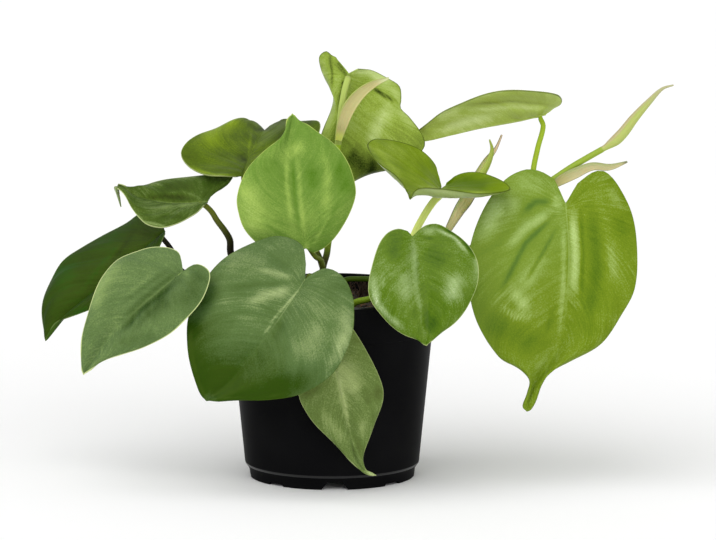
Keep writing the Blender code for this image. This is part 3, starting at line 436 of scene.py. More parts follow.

# Paint strokes on the leaves: (tone, width, the (x, up) points of a line). A tone above 0 is pale.
# Besides the leaves' own pale and dark zones and midrib lines, they paint highlights, sheen and glints,
# shade in folds and under other leaves, and lighten places that other leaves shade. They also raise or
# sink the surface a little.
LIGHT_AND_TONE_STROKES = {
    "leaf_right_large": [
        (0.9, 2.6, (141, 154), (142.7, 128), (141.6, 108)),
        (-0.6, 1.2, (145.6, 155.5), (147, 131), (145.8, 103)),
        (0.5, 1.4, (135.6, 150), (135.8, 128), (135, 106), (132.9, 82)),
        (-0.3, 0.7, (138.2, 152), (138.6, 128), (137.6, 106)), (0.3, 3, (163, 135.5), (165, 115)),
        (-0.2, 4, (168, 107), (164, 94)), (0.6, 3, (131, 164.5), (132.5, 157)),
        (-1.05, 1.6, (129.6, 151.7), (113.2, 136), (99.5, 109.5)),
        (-0.9, 1.2, (131.2, 144.3), (122, 128), (113.5, 114)), (0.5, 4.5, (124, 131), (112, 109)),
        (0.75, 3.2, (105, 108.3), (114.8, 97)), (0.75, 1.6, (99, 99), (106, 93.4), (114.5, 92.7)),
        (-0.4, 8, (86, 94), (108.3, 80.4), (122, 76)),
        (-1.0, 1.9, (128, 160.5), (119.5, 160.8), (112.8, 154.5)),
        (0.75, 3, (128, 154.5), (114, 145.5), (103, 134)), (0.3, 5, (108.3, 172), (124.7, 170.5)),
        (0.9, 1.5, (97.8, 156), (98.8, 152.4)), (-0.3, 3, (84, 129.5), (104, 141)),
        (0.9, 5, (97, 165), (93, 150), (89, 142)), (0.6, 4.5, (106, 164), (106, 153)),
        (-0.4, 2.2, (129.5, 97.5), (125.5, 83.5)), (0.25, 2, (126.5, 72), (119.5, 62)),
        (-0.55, 4.5, (152, 158), (155, 121), (149, 90)), (0.4, 3.5, (163, 168), (169, 160)),
        (-0.3, 5, (166, 152), (172, 140)),
    ],
    "leaf_front_large": [
        (0.8, 0.6, (-19.5, 108.4), (-25.6, 101), (-33.6, 91.7), (-39.5, 82.5)),
        (0.45, 1.8, (-21.6, 115.1), (-32.3, 118.5), (-43, 120.5)),
        (0.6, 3.0, (-22.9, 109.5), (-33.6, 106.4), (-50, 100.5)),
        (-0.45, 2, (-26.9, 112.6), (-39, 112), (-60, 110.4)), (-0.3, 3.5, (-34, 128), (-24, 121.5)),
        (-1.15, 20, (-88, 96), (-84, 68), (-71, 44)), (-1.15, 20, (-74, 47), (-48, 47), (-20, 50)),
        (-0.35, 6, (-30, 53), (-10, 58)), (-0.3, 7, (-36.3, 66), (-52, 76)), (0.5, 3, (-71, 47), (-66, 44)),
        (0.45, 3, (9, 84), (5, 73), (-2, 63)), (0.42, 8, (-5, 90), (-12.2, 74.2), (-22, 70)),
        (0.45, 4, (6.6, 102), (9.3, 86.3), (1.2, 70)), (-0.35, 3, (-28, 91), (-34.5, 80)),
        (-0.35, 5, (-66, 112), (-78, 98)), (0.25, 6, (-46.5, 131.5), (-62, 122)),
    ],
    "leaf_upright": [
        (0.55, 1.2, (-26.5, 186.5), (-26.6, 170.8), (-23.5, 147)),
        (-0.55, 1.2, (-23.2, 187), (-21.9, 164), (-19, 144)),
        (0.4, 1.5, (-19.5, 183), (-18.2, 161.4), (-16, 141)), (-0.65, 3.6, (-12, 180), (-10.6, 167)),
        (0.4, 2.6, (-5, 191), (-1.6, 173.4), (-4.1, 153.3)), (0.75, 11, (-48.4, 162), (-45.7, 149)),
        (-0.5, 6, (5, 183), (7, 163)), (0.5, 3, (-22.5, 190), (-16, 193.5)),
        (-0.4, 1, (-40.3, 148), (-30, 141.5), (-21.6, 137.2)), (0.45, 1.1, (0, 153.3), (-9.5, 137.2)),
        (-0.35, 1.1, (3.9, 160), (-6.8, 139.9)), (0.5, 1.5, (-15, 136), (-14.5, 132.5)),
        (-0.3, 4, (-33, 186), (-38, 176)),
    ],
    "leaf_small_glossy": [
        (0.4, 1.7, (47.6, 140), (48.2, 120.4), (49.6, 107.4), (51.9, 93.3), (54.4, 79.1)),
        (0.75, 5.0, (71.2, 112.5), (70.2, 107)), (0.5, 4.6, (42.5, 114), (42, 109)),
        (0.95, 1.0, (60.8, 144.2), (71.5, 139), (79.3, 129.5)),
        (-0.9, 1.3, (64.3, 146.2), (76.5, 138.6), (82.6, 128.7)), (-0.4, 7, (54, 133), (66, 122)),
        (0.6, 2.8, (23.8, 117), (27, 102)), (-0.4, 5, (37, 139), (36, 130)), (-0.55, 5, (62, 92), (54, 85)),
        (-0.4, 4, (46, 95), (58, 95)), (0.6, 2.4, (84, 128), (85.5, 117)),
        (0.5, 2.2, (53, 143.5), (60, 143)), (-0.5, 0.9, (52, 139.5), (60, 138.3)),
        (0.4, 0.9, (29, 118), (30.5, 110)), (0.8, 1.8, (24, 110), (27, 100), (33, 93.5), (41, 87.5)),
    ],
    "leaf_left_front": [
        (-0.5, 1.6, (-89, 119.5), (-98.5, 112.8), (-110, 103.5), (-122, 92)),
        (-0.75, 2.2, (-88.5, 115), (-98, 107.8), (-112, 96.5), (-124, 83)),
        (-0.6, 5, (-94, 104), (-108, 92)), (-0.35, 1.6, (-94, 121), (-108, 112), (-122, 101)),
        (0.35, 2, (-104, 117), (-118, 106)), (-0.5, 7, (-78, 115), (-84, 103)),
        (0.6, 5, (-125, 127), (-134.5, 111), (-140.5, 95.5)), (-0.3, 4, (-101, 83), (-125, 77)),
        (0.3, 2, (-84.5, 118.5), (-84, 117.5)), (-0.25, 1.5, (-97, 105), (-117, 83.5)),
    ],
    "leaf_left_back": [
        (0.4, 6, (-155, 122.5), (-164.5, 111)), (0.35, 1.5, (-121.5, 138), (-136.5, 122.5), (-148.5, 106.5)),
        (-0.4, 1.5, (-115.5, 144.5), (-128, 127)), (0.5, 2, (-142.5, 98.5), (-152.5, 94)),
        (-0.3, 5, (-109, 143), (-108.5, 142)), (0.6, 1, (-97.5, 143.5), (-102, 135)),
    ],
    "leaf_left_mid": [
        (0.3, 1.5, (-112, 169), (-93.5, 173), (-77.5, 176.5)),
        (0.5, 1.2, (-74.5, 160), (-85.5, 158.5), (-105, 156)),
        (0.3, 1.2, (-75, 161), (-87, 166.5), (-101, 165.5)),
        (-0.6, 1.8, (-81.5, 162.5), (-97, 163.5), (-110.5, 162.5)),
        (-0.4, 1.4, (-85.5, 151.5), (-101, 151.5)), (0.9, 0.8, (-118, 156), (-110.5, 148.5), (-97, 145.5)),
        (-0.2, 4, (-117, 160), (-116, 159.5)), (-0.4, 4, (-101, 169), (-81.5, 170.5)),
    ],
    "leaf_top_left": [
        (0.7, 6, (-76.5, 195.5), (-61.5, 207), (-52.5, 208.5)),
        (0.8, 0.9, (-82, 180), (-68.5, 176), (-58, 176)), (0.4, 0.8, (-48, 203), (-49.5, 187)),
        (-0.5, 3, (-53.5, 189.5), (-51.5, 183.5)), (-0.4, 8, (-37, 201), (-9, 203.5)),
        (-0.6, 1.4, (-51, 208.5), (-45.5, 203.5), (-35, 204.5)),
    ],
    "leaf_top_centre": [
        (-0.6, 0.8, (-1.2, 247.5), (0.4, 235.7), (0.4, 227)), (0.35, 2.2, (-5.5, 246), (-3.5, 232)),
        (-1.0, 1.6, (7.6, 233), (5, 219)), (0.3, 3, (1.5, 226), (-0.5, 212), (-4, 200)),
        (-0.7, 1.3, (3, 243), (9.5, 234)), (1.2, 3.2, (13, 238), (22, 238), (32, 232)),
        (-1.1, 1.0, (24.5, 227), (31, 222.5), (37.5, 219.5)), (-0.4, 2, (14, 226), (12, 216)),
        (0.4, 2.2, (35, 228), (39, 221)), (0.95, 4.6, (33, 216), (28, 205), (22, 194)),
        (-0.95, 7.5, (8, 190), (17, 183), (29, 180)), (-0.3, 4, (46.5, 198.5), (51, 194)),
        (-0.4, 1.2, (33, 212), (29, 196)), (0.35, 3, (40, 214), (48, 205)),
    ],
    "leaf_small_curved": [
        (0.2, 3, (29.5, 195), (46.5, 187.5)), (0.9, 1.4, (52, 168.5), (74.5, 164.5), (93.5, 165.5)),
        (-0.9, 5, (64, 170.5), (78, 172.5), (93, 169.5)), (-0.4, 1, (64.5, 169.5), (70, 174)),
        (0.3, 2, (24, 193), (42.5, 172)),
    ],
    "leaf_top_right": [
        (-0.6, 0.9, (79.5, 218.5), (107.5, 220), (131, 217.5)), (0.45, 2.2, (86, 223.5), (101, 226)),
        (0.7, 3, (62, 202), (80, 207.5), (98, 210.5)), (-0.45, 3, (106, 210), (121, 213), (132, 216)),
        (0.5, 2.6, (61, 209), (76, 215)), (0.4, 1.2, (80, 214.5), (107, 216.5), (128, 214.8)),
        (-0.5, 2.6, (84, 219), (107.5, 222.5), (131, 221)), (-0.35, 2, (92, 202), (112, 206.5)),
        (-0.5, 2, (52, 204), (53, 203.5)),
    ],
    "leaf_front_hanging": [
        (0.55, 2.0, (3.5, 60), (6.8, 45.5), (9, 31)), (0.3, 0.7, (4, 58), (7.4, 45), (11, 25), (17, 8)),
        (0.7, 6, (2, 66), (9, 58), (15, 48)), (-0.3, 2.6, (18, 52), (22, 42)),
        (-0.5, 3, (-17, 47), (-6, 53)), (-0.3, 3, (14, 28), (16, 14)), (-0.4, 3, (27, 52), (27, 44)),
        (0.45, 3, (19, 34), (15.5, 22)), (0.35, 3, (-6, 38), (7.5, 20)), (1.2, 1.2, (21, 2.6), (26, 0.5)),
    ],
}


# Shapes


def seen(x, up, y):
    """The place of a point that stands at height up in the view, y behind the pot's axis."""
    return Vector((x, y, (up - y * math.sin(VIEW_RISE)) / math.cos(VIEW_RISE))) * MM


def flowing_line(points):
    """A smooth line through the points, as a function of the share of its length."""
    stops = [0.0]
    for here, there in zip(points, points[1:]):
        stops.append(stops[-1] + (there - here).length)
    last = len(points) - 1
    slopes = []
    for i in range(last + 1):
        before, after = max(i - 1, 0), min(i + 1, last)
        slopes.append((points[after] - points[before]) / (stops[after] - stops[before]))

    def at(share):
        distance = share * stops[-1]
        i = max(0, min(bisect_right(stops, distance) - 1, last - 1))
        span = stops[i + 1] - stops[i]
        t = (distance - stops[i]) / span
        from_start = (1 + 2 * t) * (1 - t) ** 2 * points[i] + t * (1 - t) ** 2 * span * slopes[i]
        to_end = t * t * (3 - 2 * t) * points[i + 1] - t * t * (1 - t) * span * slopes[i + 1]
        return from_start + to_end

    return at


def smoothstep(low, high, value):
    """From 0 at low to 1 at high, eased at both ends and held beyond them."""
    share = max(0.0, min(1.0, (value - low) / (high - low)))
    return share * share * (3 - 2 * share)


class Blade:
    """The middle surface of a leaf blade, by share along the midrib and place across it."""

    def __init__(self, leaf, crease):
        self.leaf = leaf
        self.softness = SOFTEST_CREASE * (1 - crease)
        tip = leaf["midrib"][-1:]
        self.midrib = self.line(leaf["midrib"])
        self.left = self.line(leaf["left"] + tip)
        self.right = self.line(leaf["right"] + tip)

    def line(self, points):
        return flowing_line([self.place(*point) for point in points])

    def place(self, x, up, back=0):
        lean, turn, bow = (self.leaf.get(key, 0) for key in ("lean", "turn", "bow"))
        base_x, base_up = self.leaf["midrib"][0][:2]
        share = (up - base_up) / (self.leaf["midrib"][-1][1] - base_up)
        y = self.leaf["depth"] + lean * (up - base_up) + turn * (x - base_x)
        y -= bow * 4 * share * (1 - share)
        return seen(x, up, y + back)

    def upper_side(self, along):
        """The direction that the upper side faces at the midrib."""
        near, far = max(along - 0.02, 0), min(along + 0.02, 1)
        forward = self.midrib(far) - self.midrib(near)
        before_tip = min(along, 0.9)
        return forward.cross(self.right(before_tip) - self.left(before_tip)).normalized()

    def at(self, along, across):
        """The place there, and how far the midrib is from the margin."""
        centre = self.midrib(along)
        margin = self.right(along) if across > 0 else self.left(along)
        side = abs(across)
        soft = math.hypot(side, self.softness) - self.softness
        swell = math.sin(math.pi * min(along, 1)) ** 0.8
        lift = self.leaf["dome"] * 4 * soft * (1 - side) - self.leaf.get("fold", 0) * (1 - soft) ** 1.5
        raised = self.upper_side(along) * lift * swell * MM
        return centre.lerp(margin, side) + raised, (margin - centre).length


def stroke_light_and_tone(strokes, x, up):
    """What the strokes do at a point of the view: their tone, painted light and shade included, and their
    rise.
    """
    light_and_tone = 0.0
    height = 0.0
    for strength, width, *line in strokes:
        total = sum(math.dist(a, b) for a, b in zip(line, line[1:]))
        nearest = math.inf
        place = 0.0
        run = 0.0
        for (ax, au), (bx, bu) in zip(line, line[1:]):
            length = math.dist((ax, au), (bx, bu))
            share = ((x - ax) * (bx - ax) + (up - au) * (bu - au)) / length ** 2
            share = max(0.0, min(1.0, share))
            gap = math.dist((x, up), (ax + share * (bx - ax), au + share * (bu - au)))
            if gap < nearest:
                nearest, place = gap, (run + share * length) / total
            run += length
        if nearest > 3 * width:
            continue
        fade = 1.0
        if total > 2 * width:
            fade = 0.35 + 0.65 * smoothstep(0, 0.2, place) * smoothstep(1, 0.8, place)
        pull = strength * math.exp(-(nearest / width) ** 2) * fade
        light_and_tone += pull
        height += pull * min(width, WIDEST_FOLD)
    return light_and_tone, height


def deselect():
    bpy.ops.object.select_all(action="DESELECT")


@contextmanager
def editing():
    """Edit mode, with all of the mesh selected at first."""
    bpy.ops.object.mode_set(mode="EDIT")
    bpy.ops.mesh.select_all(action="SELECT")
    yield
    bpy.ops.object.mode_set(mode="OBJECT")


def laid_grid(name, columns, rows, place):
    """A grid whose points (u, v), each from 0 to 1, lie at place(u, v)."""
    deselect()
    bpy.ops.mesh.primitive_grid_add(x_subdivisions=columns, y_subdivisions=rows, size=2)
    sheet = bpy.context.object
    sheet.name = sheet.data.name = name
    for vertex in sheet.data.vertices:
        vertex.co = place((vertex.co.x + 1) / 2, (vertex.co.y + 1) / 2)
    sheet.data.update()
    return sheet


def close_up(gap, outward=False):
    """Merges points that lie on one another and, for a closed shape, turns its faces outwards."""
    with editing():
        bpy.ops.mesh.remove_doubles(threshold=gap * MM)
        if outward:
            bpy.ops.mesh.normals_make_consistent(inside=False)


def thicken(sheet, thickness):
    """Gives a sheet its thickness, half to each side, with its second paint on the lower side."""
    bpy.ops.object.modifier_add(type="SOLIDIFY")
    wall = sheet.modifiers[-1]
    wall.thickness = thickness * MM
    wall.offset = 0
    wall.material_offset = 1
    bpy.ops.object.modifier_apply(modifier=wall.name)


def shade(thing, angle=50):
    """Smooth, but sharp at edges that turn by more than the angle."""
    bpy.context.view_layer.objects.active = thing
    thing.select_set(True)
    bpy.ops.object.shade_smooth_by_angle(angle=math.radians(angle))


def fuse(name, pieces):
    """Joins the pieces into the first one."""
    deselect()
    for piece in pieces:
        piece.select_set(True)
    bpy.context.view_layer.objects.active = pieces[0]
    if len(pieces) > 1:
        bpy.ops.object.join()
    pieces[0].name = pieces[0].data.name = name
    return pieces[0]


def dress(piece, slot, *nodes):
    """The piece rides with the plant and stands for those nodes."""
    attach(piece, "root")
    if nodes:
        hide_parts(*nodes)


# Paints


def linear(code):
    """The linear colour of a written one such as 7A9630."""
    channels = [int(code[i:i + 2], 16) / 255 for i in (0, 2, 4)]
    return (*[c / 12.92 if c <= 0.04045 else ((c + 0.055) / 1.055) ** 2.4 for c in channels], 1)


class Paint:
    """A material with a Principled shader, and short ways to add what feeds it.

    A colour is written as a code such as 7A9630.
    """

    def __init__(self, name, roughness, **sockets):
        self.material = bpy.data.materials.new(name)
        self.material.use_nodes = True
        self.tree = self.material.node_tree
        self.shader = self.tree.nodes["Principled BSDF"]
        self.shader.inputs["Roughness"].default_value = roughness
        for socket, value in sockets.items():
            self.shader.inputs[socket.replace("_", " ")].default_value = value

    def add(self, kind, *inputs, **settings):
        node = self.tree.nodes.new("ShaderNode" + kind)
        for setting, value in settings.items():
            setattr(node, setting, value)
        for socket, value in zip(node.inputs, inputs):
            self.feed(socket, value)
        return node

    def feed(self, socket, value):
        if isinstance(value, bpy.types.NodeSocket):
            self.tree.links.new(value, socket)
        else:
            socket.default_value = linear(value) if isinstance(value, str) else value

    def math(self, operation, *inputs):
        return self.add("Math", *inputs, operation=operation).outputs[0]

    def times(self, value, factor):
        return self.math("MULTIPLY", value, factor)

    def times_plus(self, value, factor, extra):
        return self.math("MULTIPLY_ADD", value, factor, extra)

    def from_middle(self, share):
        """0 at the middle, where the share is a half, and 1 at both ends."""
        return self.math("ABSOLUTE", self.times_plus(share, 2.0, -1.0))

    def ramp(self, value, low, high, start=0.0, end=1.0):
        """value from low to high becomes start to end, smoothly, and stays there."""
        node = self.add("MapRange", value, low, high, start, end, interpolation_type="SMOOTHSTEP")
        return node.outputs[0]

    def blend(self, share, first, second):
        node = self.add("Mix", data_type="RGBA")
        for number, value in ((0, share), (6, first), (7, second)):
            self.feed(node.inputs[number], value)
        return node.outputs[2]

    def cover(self, under, colour, value, low, high, start=0.0, end=1.0):
        """The colour over what is under it, as far as the ramp of value says."""
        return self.blend(self.ramp(value, low, high, start, end), under, colour)

    def shades(self, value, *colours):
        """Evenly spaced colours, from value 0 to value 1."""
        node = self.add("ValToRGB", value)
        stops = node.color_ramp.elements
        while len(stops) < len(colours):
            stops.new(0.5)
        for number, colour in enumerate(colours):
            stops[number].position = number / (len(colours) - 1)
            stops[number].color = linear(colour)
        return node.outputs[0]

    def noise(self, place, scale, detail=2.0, roughness=0.5):
        node = self.add("TexNoise", place)
        node.inputs["Scale"].default_value = scale
        node.inputs["Detail"].default_value = detail
        node.inputs["Roughness"].default_value = roughness
        return node.outputs[0]

    def grain(self, scale, detail=2.0, roughness=0.5):
        """Noise through the whole body."""
        return self.noise(self.body(), scale, detail, roughness)

    def uv(self):
        """How far around or across, and how far along."""
        flat = self.add("SeparateXYZ", self.add("TexCoord").outputs["UV"])
        return flat.outputs[0], flat.outputs[1]

    def body(self):
        return self.add("TexCoord").outputs["Object"]

    def measure(self, attribute):
        return self.add("Attribute", attribute_name=attribute).outputs["Fac"]

    def streaks(self, across, along, fine, slow):
        """Noise drawn out along lines that run with the slow direction."""
        stretched = self.times(along, fine), self.times(across, slow)
        place = self.add("CombineXYZ", *stretched, 0.0)
        return self.noise(place.outputs[0], 1.0, 2.0, 0.6)

    def bump(self, height, depth, strength):
        node = self.add("Bump", strength, depth * MM)
        self.tree.links.new(height, node.inputs["Height"])
        self.tree.links.new(node.outputs[0], self.shader.inputs["Normal"])

    def colour(self, value):
        self.feed(self.shader.inputs["Base Color"], value)


def leaf_paint(name, greens, look):
    """Green with fine vein streaks, pale midrib, thin margin and the strokes' painted highlights and shade.
    """
    paint = Paint(name, look["roughness"], Subsurface_Weight=0.06, Subsurface_Scale=0.002,
                  Subsurface_Radius=(0.6, 1.0, 0.2), Specular_IOR_Level=0.26,
                  Specular_Tint=(0.85, 1.0, 0.2, 1), Coat_Weight=look.get("coat", 0.0),
                  Coat_Roughness=0.16)
    u, v = paint.uv()
    side = paint.from_middle(u)
    half = paint.math("GREATER_THAN", u, 0.5)
    drawn_light_and_tone = paint.measure("light_and_tone")

    # Patterns. The two halves lie far apart in the noise, so that they differ.
    across = paint.times_plus(half, 9.0, side)
    streak = paint.streaks(across, v, 90.0, 2.6)
    broad = paint.streaks(across, v, 22.0, 1.4)
    cloud = paint.grain(60.0, 3.0)
    grain = paint.grain(1300.0)
    patch = paint.ramp(paint.grain(34.0), 0.36, 0.62, 0.25, 1.3)
    patch = paint.times(patch, paint.ramp(drawn_light_and_tone, -0.8, 0.2, 0.3, 1.0))

    # Tone, from deep to pale, with the strokes' painted highlights, sheen and shade
    light_and_tone = paint.times_plus(drawn_light_and_tone, 0.5, 0.5)
    streak_tone = paint.times(paint.math("SUBTRACT", streak, 0.5), patch)
    light_and_tone = paint.times_plus(streak_tone, look["streak"], light_and_tone)
    mottle = look.get("mottle", 1.0)
    for pattern, share in ((broad, 0.34 * mottle), (cloud, 0.55 * mottle), (grain, 0.45)):
        light_and_tone = paint.math("ADD", light_and_tone, paint.times_plus(pattern, share, -share / 2))
    phase = paint.times_plus(v, float(MAIN_VEINS), paint.times(half, 0.5))
    vein = paint.ramp(paint.math("PINGPONG", phase, 0.5), 0.0, 0.12, 1.0, 0.0)
    vein = paint.times(vein, paint.ramp(side, 0.1, 0.8, 1.0, 0.0))
    light_and_tone = paint.times_plus(vein, 0.12 * look["streak"], light_and_tone)
    green = paint.shades(light_and_tone, *greens)

    # A painted grey-green sheen over the left half near the base, fading towards the tip.
    if "painted_sheen" in look:
        sheen_colour, share = look["painted_sheen"]
        on_left = paint.ramp(u, 0.4, 0.6, 0.0, share)
        green = paint.blend(paint.times(on_left, paint.ramp(v, 0.4, 0.7, 1.0, 0.1)), green, sheen_colour)
    # Painted glints: white specks where the strokes are palest.
    painted_glints = paint.math("ADD", paint.times(grain, 0.6), paint.times(streak, 0.4))
    painted_glints = paint.ramp(painted_glints, 0.5, 0.62, 0.0, look.get("painted_glints", 0.16))
    green = paint.blend(paint.times(painted_glints, paint.ramp(drawn_light_and_tone, 0.55, 1.05)), green, PAINTED_GLINT)
    clear, width, fade = look["rib"]
    rib = paint.ramp(paint.measure("rib"), 0.2 * width, width, clear, 0.0)
    rib = paint.times(rib, paint.ramp(v, fade - 0.25, fade, 1.0, 0.05))
    green = paint.blend(rib, green, greens[-1])
    edge, clear, width = look["margin"]
    paint.colour(paint.cover(green, edge, paint.measure("edge"), 0.4 * width, width, clear, 0.0))
    paint.bump(paint.times_plus(grain, 0.35, paint.math("ADD", streak, broad)), 0.16, 0.7)
    return paint.material


def stalk_paint(name, dark, pale, foot=None, foot_fade=None):
    """A green stalk with lengthwise stripes and a pale one to each side of its front.

    It takes the foot colour below, which fades between the two heights of foot_fade.
    """
    paint = Paint(name, 0.45, Subsurface_Weight=0.05, Subsurface_Scale=0.001, Specular_IOR_Level=0.14)
    u, v = paint.uv()
    stripe = paint.streaks(v, u, 7.0, 2.0)
    green = paint.shades(stripe, dark, pale, dark)
    from_front = paint.math("ABSOLUTE", paint.math("SUBTRACT", u, FRONT))
    band = paint.times(paint.ramp(from_front, 0.012, 0.035),
                       paint.ramp(from_front, 0.09, 0.16, 0.75, 0.0))
    green = paint.blend(band, green, pale)
    if foot:
        low, high = foot_fade
        height = paint.add("SeparateXYZ", paint.body()).outputs[2]
        green = paint.cover(green, foot, height, low * MM, high * MM, 1.0, 0.0)
    paint.colour(green)
    paint.bump(stripe, 0.15, 0.5)
    return paint.material


def new_leaf_paint(name, stalk, side_colour, free_edge, tip, change):
    """A rolled leaf: green up to the share change of its length, then pale with a tinted free edge."""
    paint = Paint(name, 0.42, Subsurface_Weight=0.08, Subsurface_Scale=0.001, Specular_IOR_Level=0.35)
    u, v = paint.uv()
    fibre = paint.streaks(v, u, 14.0, 1.6)
    pale = paint.cover(side_colour, free_edge, u, 0.30, 0.40, 0.0, 0.8)
    pale = paint.cover(pale, tip, v, 0.7, 0.95)
    whole = paint.cover(stalk, pale, v, change - 0.012, change + 0.004)
    deeper = paint.blend(0.35, whole, stalk)
    paint.colour(paint.cover(deeper, whole, fibre, 0.35, 0.65))
    paint.bump(fibre, 0.12, 0.6)
    return paint.material


def sheath_paint(name, look):
    """Dry sheath: lengthwise fibres, flanks of their own colours, a green neck, a tip and dark edges."""
    paint = Paint(name, 0.55, Subsurface_Weight=0.1, Subsurface_Scale=0.001, Specular_IOR_Level=0.3)
    u, v = paint.uv()
    fibre = paint.streaks(v, u, 26.0, 1.5)
    left, left_start, left_end = look["left"]
    right, right_start, right_end = look["right"]
    neck, neck_end = look["neck"]
    tip, tip_start = look["tip"]
    whole = paint.shades(fibre, look["fibre"], look["core"], look["core"])
    whole = paint.cover(whole, left, u, left_start, left_end, 1.0, 0.0)
    whole = paint.cover(whole, right, u, right_start, right_end)
    whole = paint.cover(whole, neck, v, 0.03, neck_end, 0.9, 0.0)
    whole = paint.cover(whole, tip, v, tip_start, 1.0, 0.0, 0.9)
    paint.colour(paint.cover(whole, look["edge"], paint.from_middle(u), 0.88, 0.98, 0.0, 0.75))
    paint.bump(fibre, 0.2, 0.8)
    return paint.material


def plain_paint(name, roughness, grain, colours, bump=None, **sockets):
    """One of the paints of pot and soil: noise of the given scale and detail picks among the colours."""
    paint = Paint(name, roughness, **sockets)
    pattern = paint.grain(*grain)
    paint.colour(paint.shades(pattern, *colours))
    if bump:
        paint.bump(pattern, *bump)
    return paint.material


# Leaves


def leaf_relief(v, across, from_rib, pull, near_edge, seed, crease):
    """How far the surface stands up, in millimetres, from its midrib, veins, folds and waves."""
    side = abs(across)
    groove = -GROOVE_DEPTH * crease * math.exp(-(from_rib / GROOVE_WIDTH) ** 2) * smoothstep(1, 0.5, v)
    phase = v * MAIN_VEINS + (0.5 if across < 0 else 0)
    quilt = QUILT_HEIGHT * (abs(math.sin(math.pi * phase)) ** 0.6 - 0.6) * smoothstep(0.9, 0.5, side)
    half = 7 if across > 0 else 0
    ripples = RIPPLE_HEIGHT * noise.noise(Vector((v * 9 + half, side * 1.3, seed)))
    ripples += FINE_RIPPLE_HEIGHT * noise.noise(Vector((v * 34 + half, side * 2.0, seed)))
    away = smoothstep(0, CALM_RIB, from_rib) * smoothstep(0, 0.12, v)
    turns = 3.3 * v + 0.3 * (across > 0)
    wave = WAVE_HEIGHT * side ** 4 * math.sin(2 * math.pi * turns) * smoothstep(1, 0.85, v)
    inner = (quilt + ripples) * away + STROKE_HEIGHT * pull
    return groove + inner * near_edge + wave


def add_leaf(name, leaf, seed):
    """A blade whose rows run as the veins do, from the midrib to a place on the margin nearer the tip."""
    look = LEAF_LOOKS[name]
    crease = look.get("crease", 1.0)
    blade = Blade(leaf, crease)
    marks = []

    def place(u, v):
        spread = 1 - 2 * u
        across = math.copysign(abs(spread) ** 1.2, spread)
        start, end = v ** 2.2, 1 - (1 - v) ** 1.6
        point, half_width = blade.at(start + (end - start) * abs(across), across)
        up = (point.z * math.cos(VIEW_RISE) + point.y * math.sin(VIEW_RISE)) / MM
        # The strokes give tone with painted highlights, sheen and shade, and a little relief.
        light_and_tone, pull = stroke_light_and_tone(LIGHT_AND_TONE_STROKES[name], point.x / MM, up)
        from_rib = abs(across) * half_width / MM
        marks.append((light_and_tone, from_rib, half_width / MM - from_rib, pull, across, v))
        return point

    sheet = laid_grid(name + "_blade", LEAF_COLUMNS, LEAF_ROWS, place)
    mesh = sheet.data
    # The first attribute carries that tone, painted light and shade included, to the leaf paint.
    for number, attribute in enumerate(("light_and_tone", "rib", "edge")):
        layer = mesh.attributes.new(attribute, "FLOAT", "POINT")
        layer.data.foreach_set("value", [mark[number] for mark in marks])
    normals = [vertex.normal.copy() for vertex in mesh.vertices]
    for vertex, normal, mark in zip(mesh.vertices, normals, marks):
        light_and_tone, from_rib, from_edge, pull, across, v = mark
        near_edge = smoothstep(0, CALM_EDGE, from_edge)
        vertex.co += normal * leaf_relief(v, across, from_rib, pull, near_edge, seed, crease) * MM
    mesh.materials.append(leaf_paint(name, look["greens"], look))
    mesh.materials.append(leaf_paint(name + "_underside", look.get("underside", UNDERSIDE), look))
    close_up(0.02)
    thicken(sheet, BLADE_THICKNESS)
    shade(sheet, 70)
    dress(sheet, name, name)
    return blade


# Stalks, sheaths and new leaves


def run_stations(points, thicknesses, rows):
    """Even stations along a smooth line: place, thickness, and two directions across it."""
    line = flowing_line([Vector((*point, thickness * MM)) for point, thickness in zip(points, thicknesses)])
    stations = []
    side = None
    for row in range(rows + 1):
        share = row / rows
        ahead = (line(min(share + 0.01, 1)) - line(max(share - 0.01, 0))).xyz.normalized()
        side = ahead.cross(TO_VIEWER) if side is None else side - ahead * side.dot(ahead)
        side.normalize()
        here = line(share)
        stations.append((here.xyz, here.w, side.copy(), side.cross(ahead)))
    return stations


def add_tube(name, points, thicknesses, material, sides=STALK_SIDES, section=None):
    """A closed round stalk. A section scales its radius by share around and share along."""
    length = sum((b - a).length for a, b in zip(points, points[1:])) / MM
    rows = max(FEWEST_RINGS, round(length / STALK_STEP))
    stations = run_stations(points, thicknesses, rows)

    def place(u, v):
        row = round(v * (rows + 2))
        centre, thickness, side, front = stations[max(0, min(rows, row - 1))]
        if row in (0, rows + 2):
            return centre
        turn = 2 * math.pi * u
        radius = thickness / 2 * (section(u, v) if section else 1)
        return centre + (side * math.cos(turn) + front * math.sin(turn)) * radius

    tube = laid_grid(name, sides, rows + 2, place)
    tube.data.materials.append(material)
    close_up(0.004, outward=True)
    shade(tube)
    return tube


def leaf_end(blade, last, reach):
    """The last points of a stalk: from its last free point to the blade's underside, then as a keel."""
    seat, _ = blade.at(0.04, 0)
    down = -blade.upper_side(0.05)
    keel = [blade.at(share * reach, 0)[0] - blade.upper_side(share) * depth * MM for share, depth in KEEL]
    approach = [seat + down * APPROACH * MM] if (seat - last).length > NEAR_SEAT * MM else []
    return approach + [seat + down * SEAT_DEPTH * MM] + keel


def winged(u):
    """A broad, flattened section with a groove down its front."""
    width, depth = 1.18, 0.72
    turn = 2 * math.pi * u
    flat = 1 / math.hypot(math.cos(turn) / width, math.sin(turn) / depth)
    return flat - 0.14 * math.exp(-((u - FRONT) / 0.045) ** 2)


def stalk_section(leaf, fullness):
    if leaf in WINGED_STALKS:
        loss = 1 - WINGED_STALKS[leaf]
        return lambda u, v: fullness * winged(u) * (1 - loss * smoothstep(*WING_NARROWS, v))
    return lambda u, v: fullness


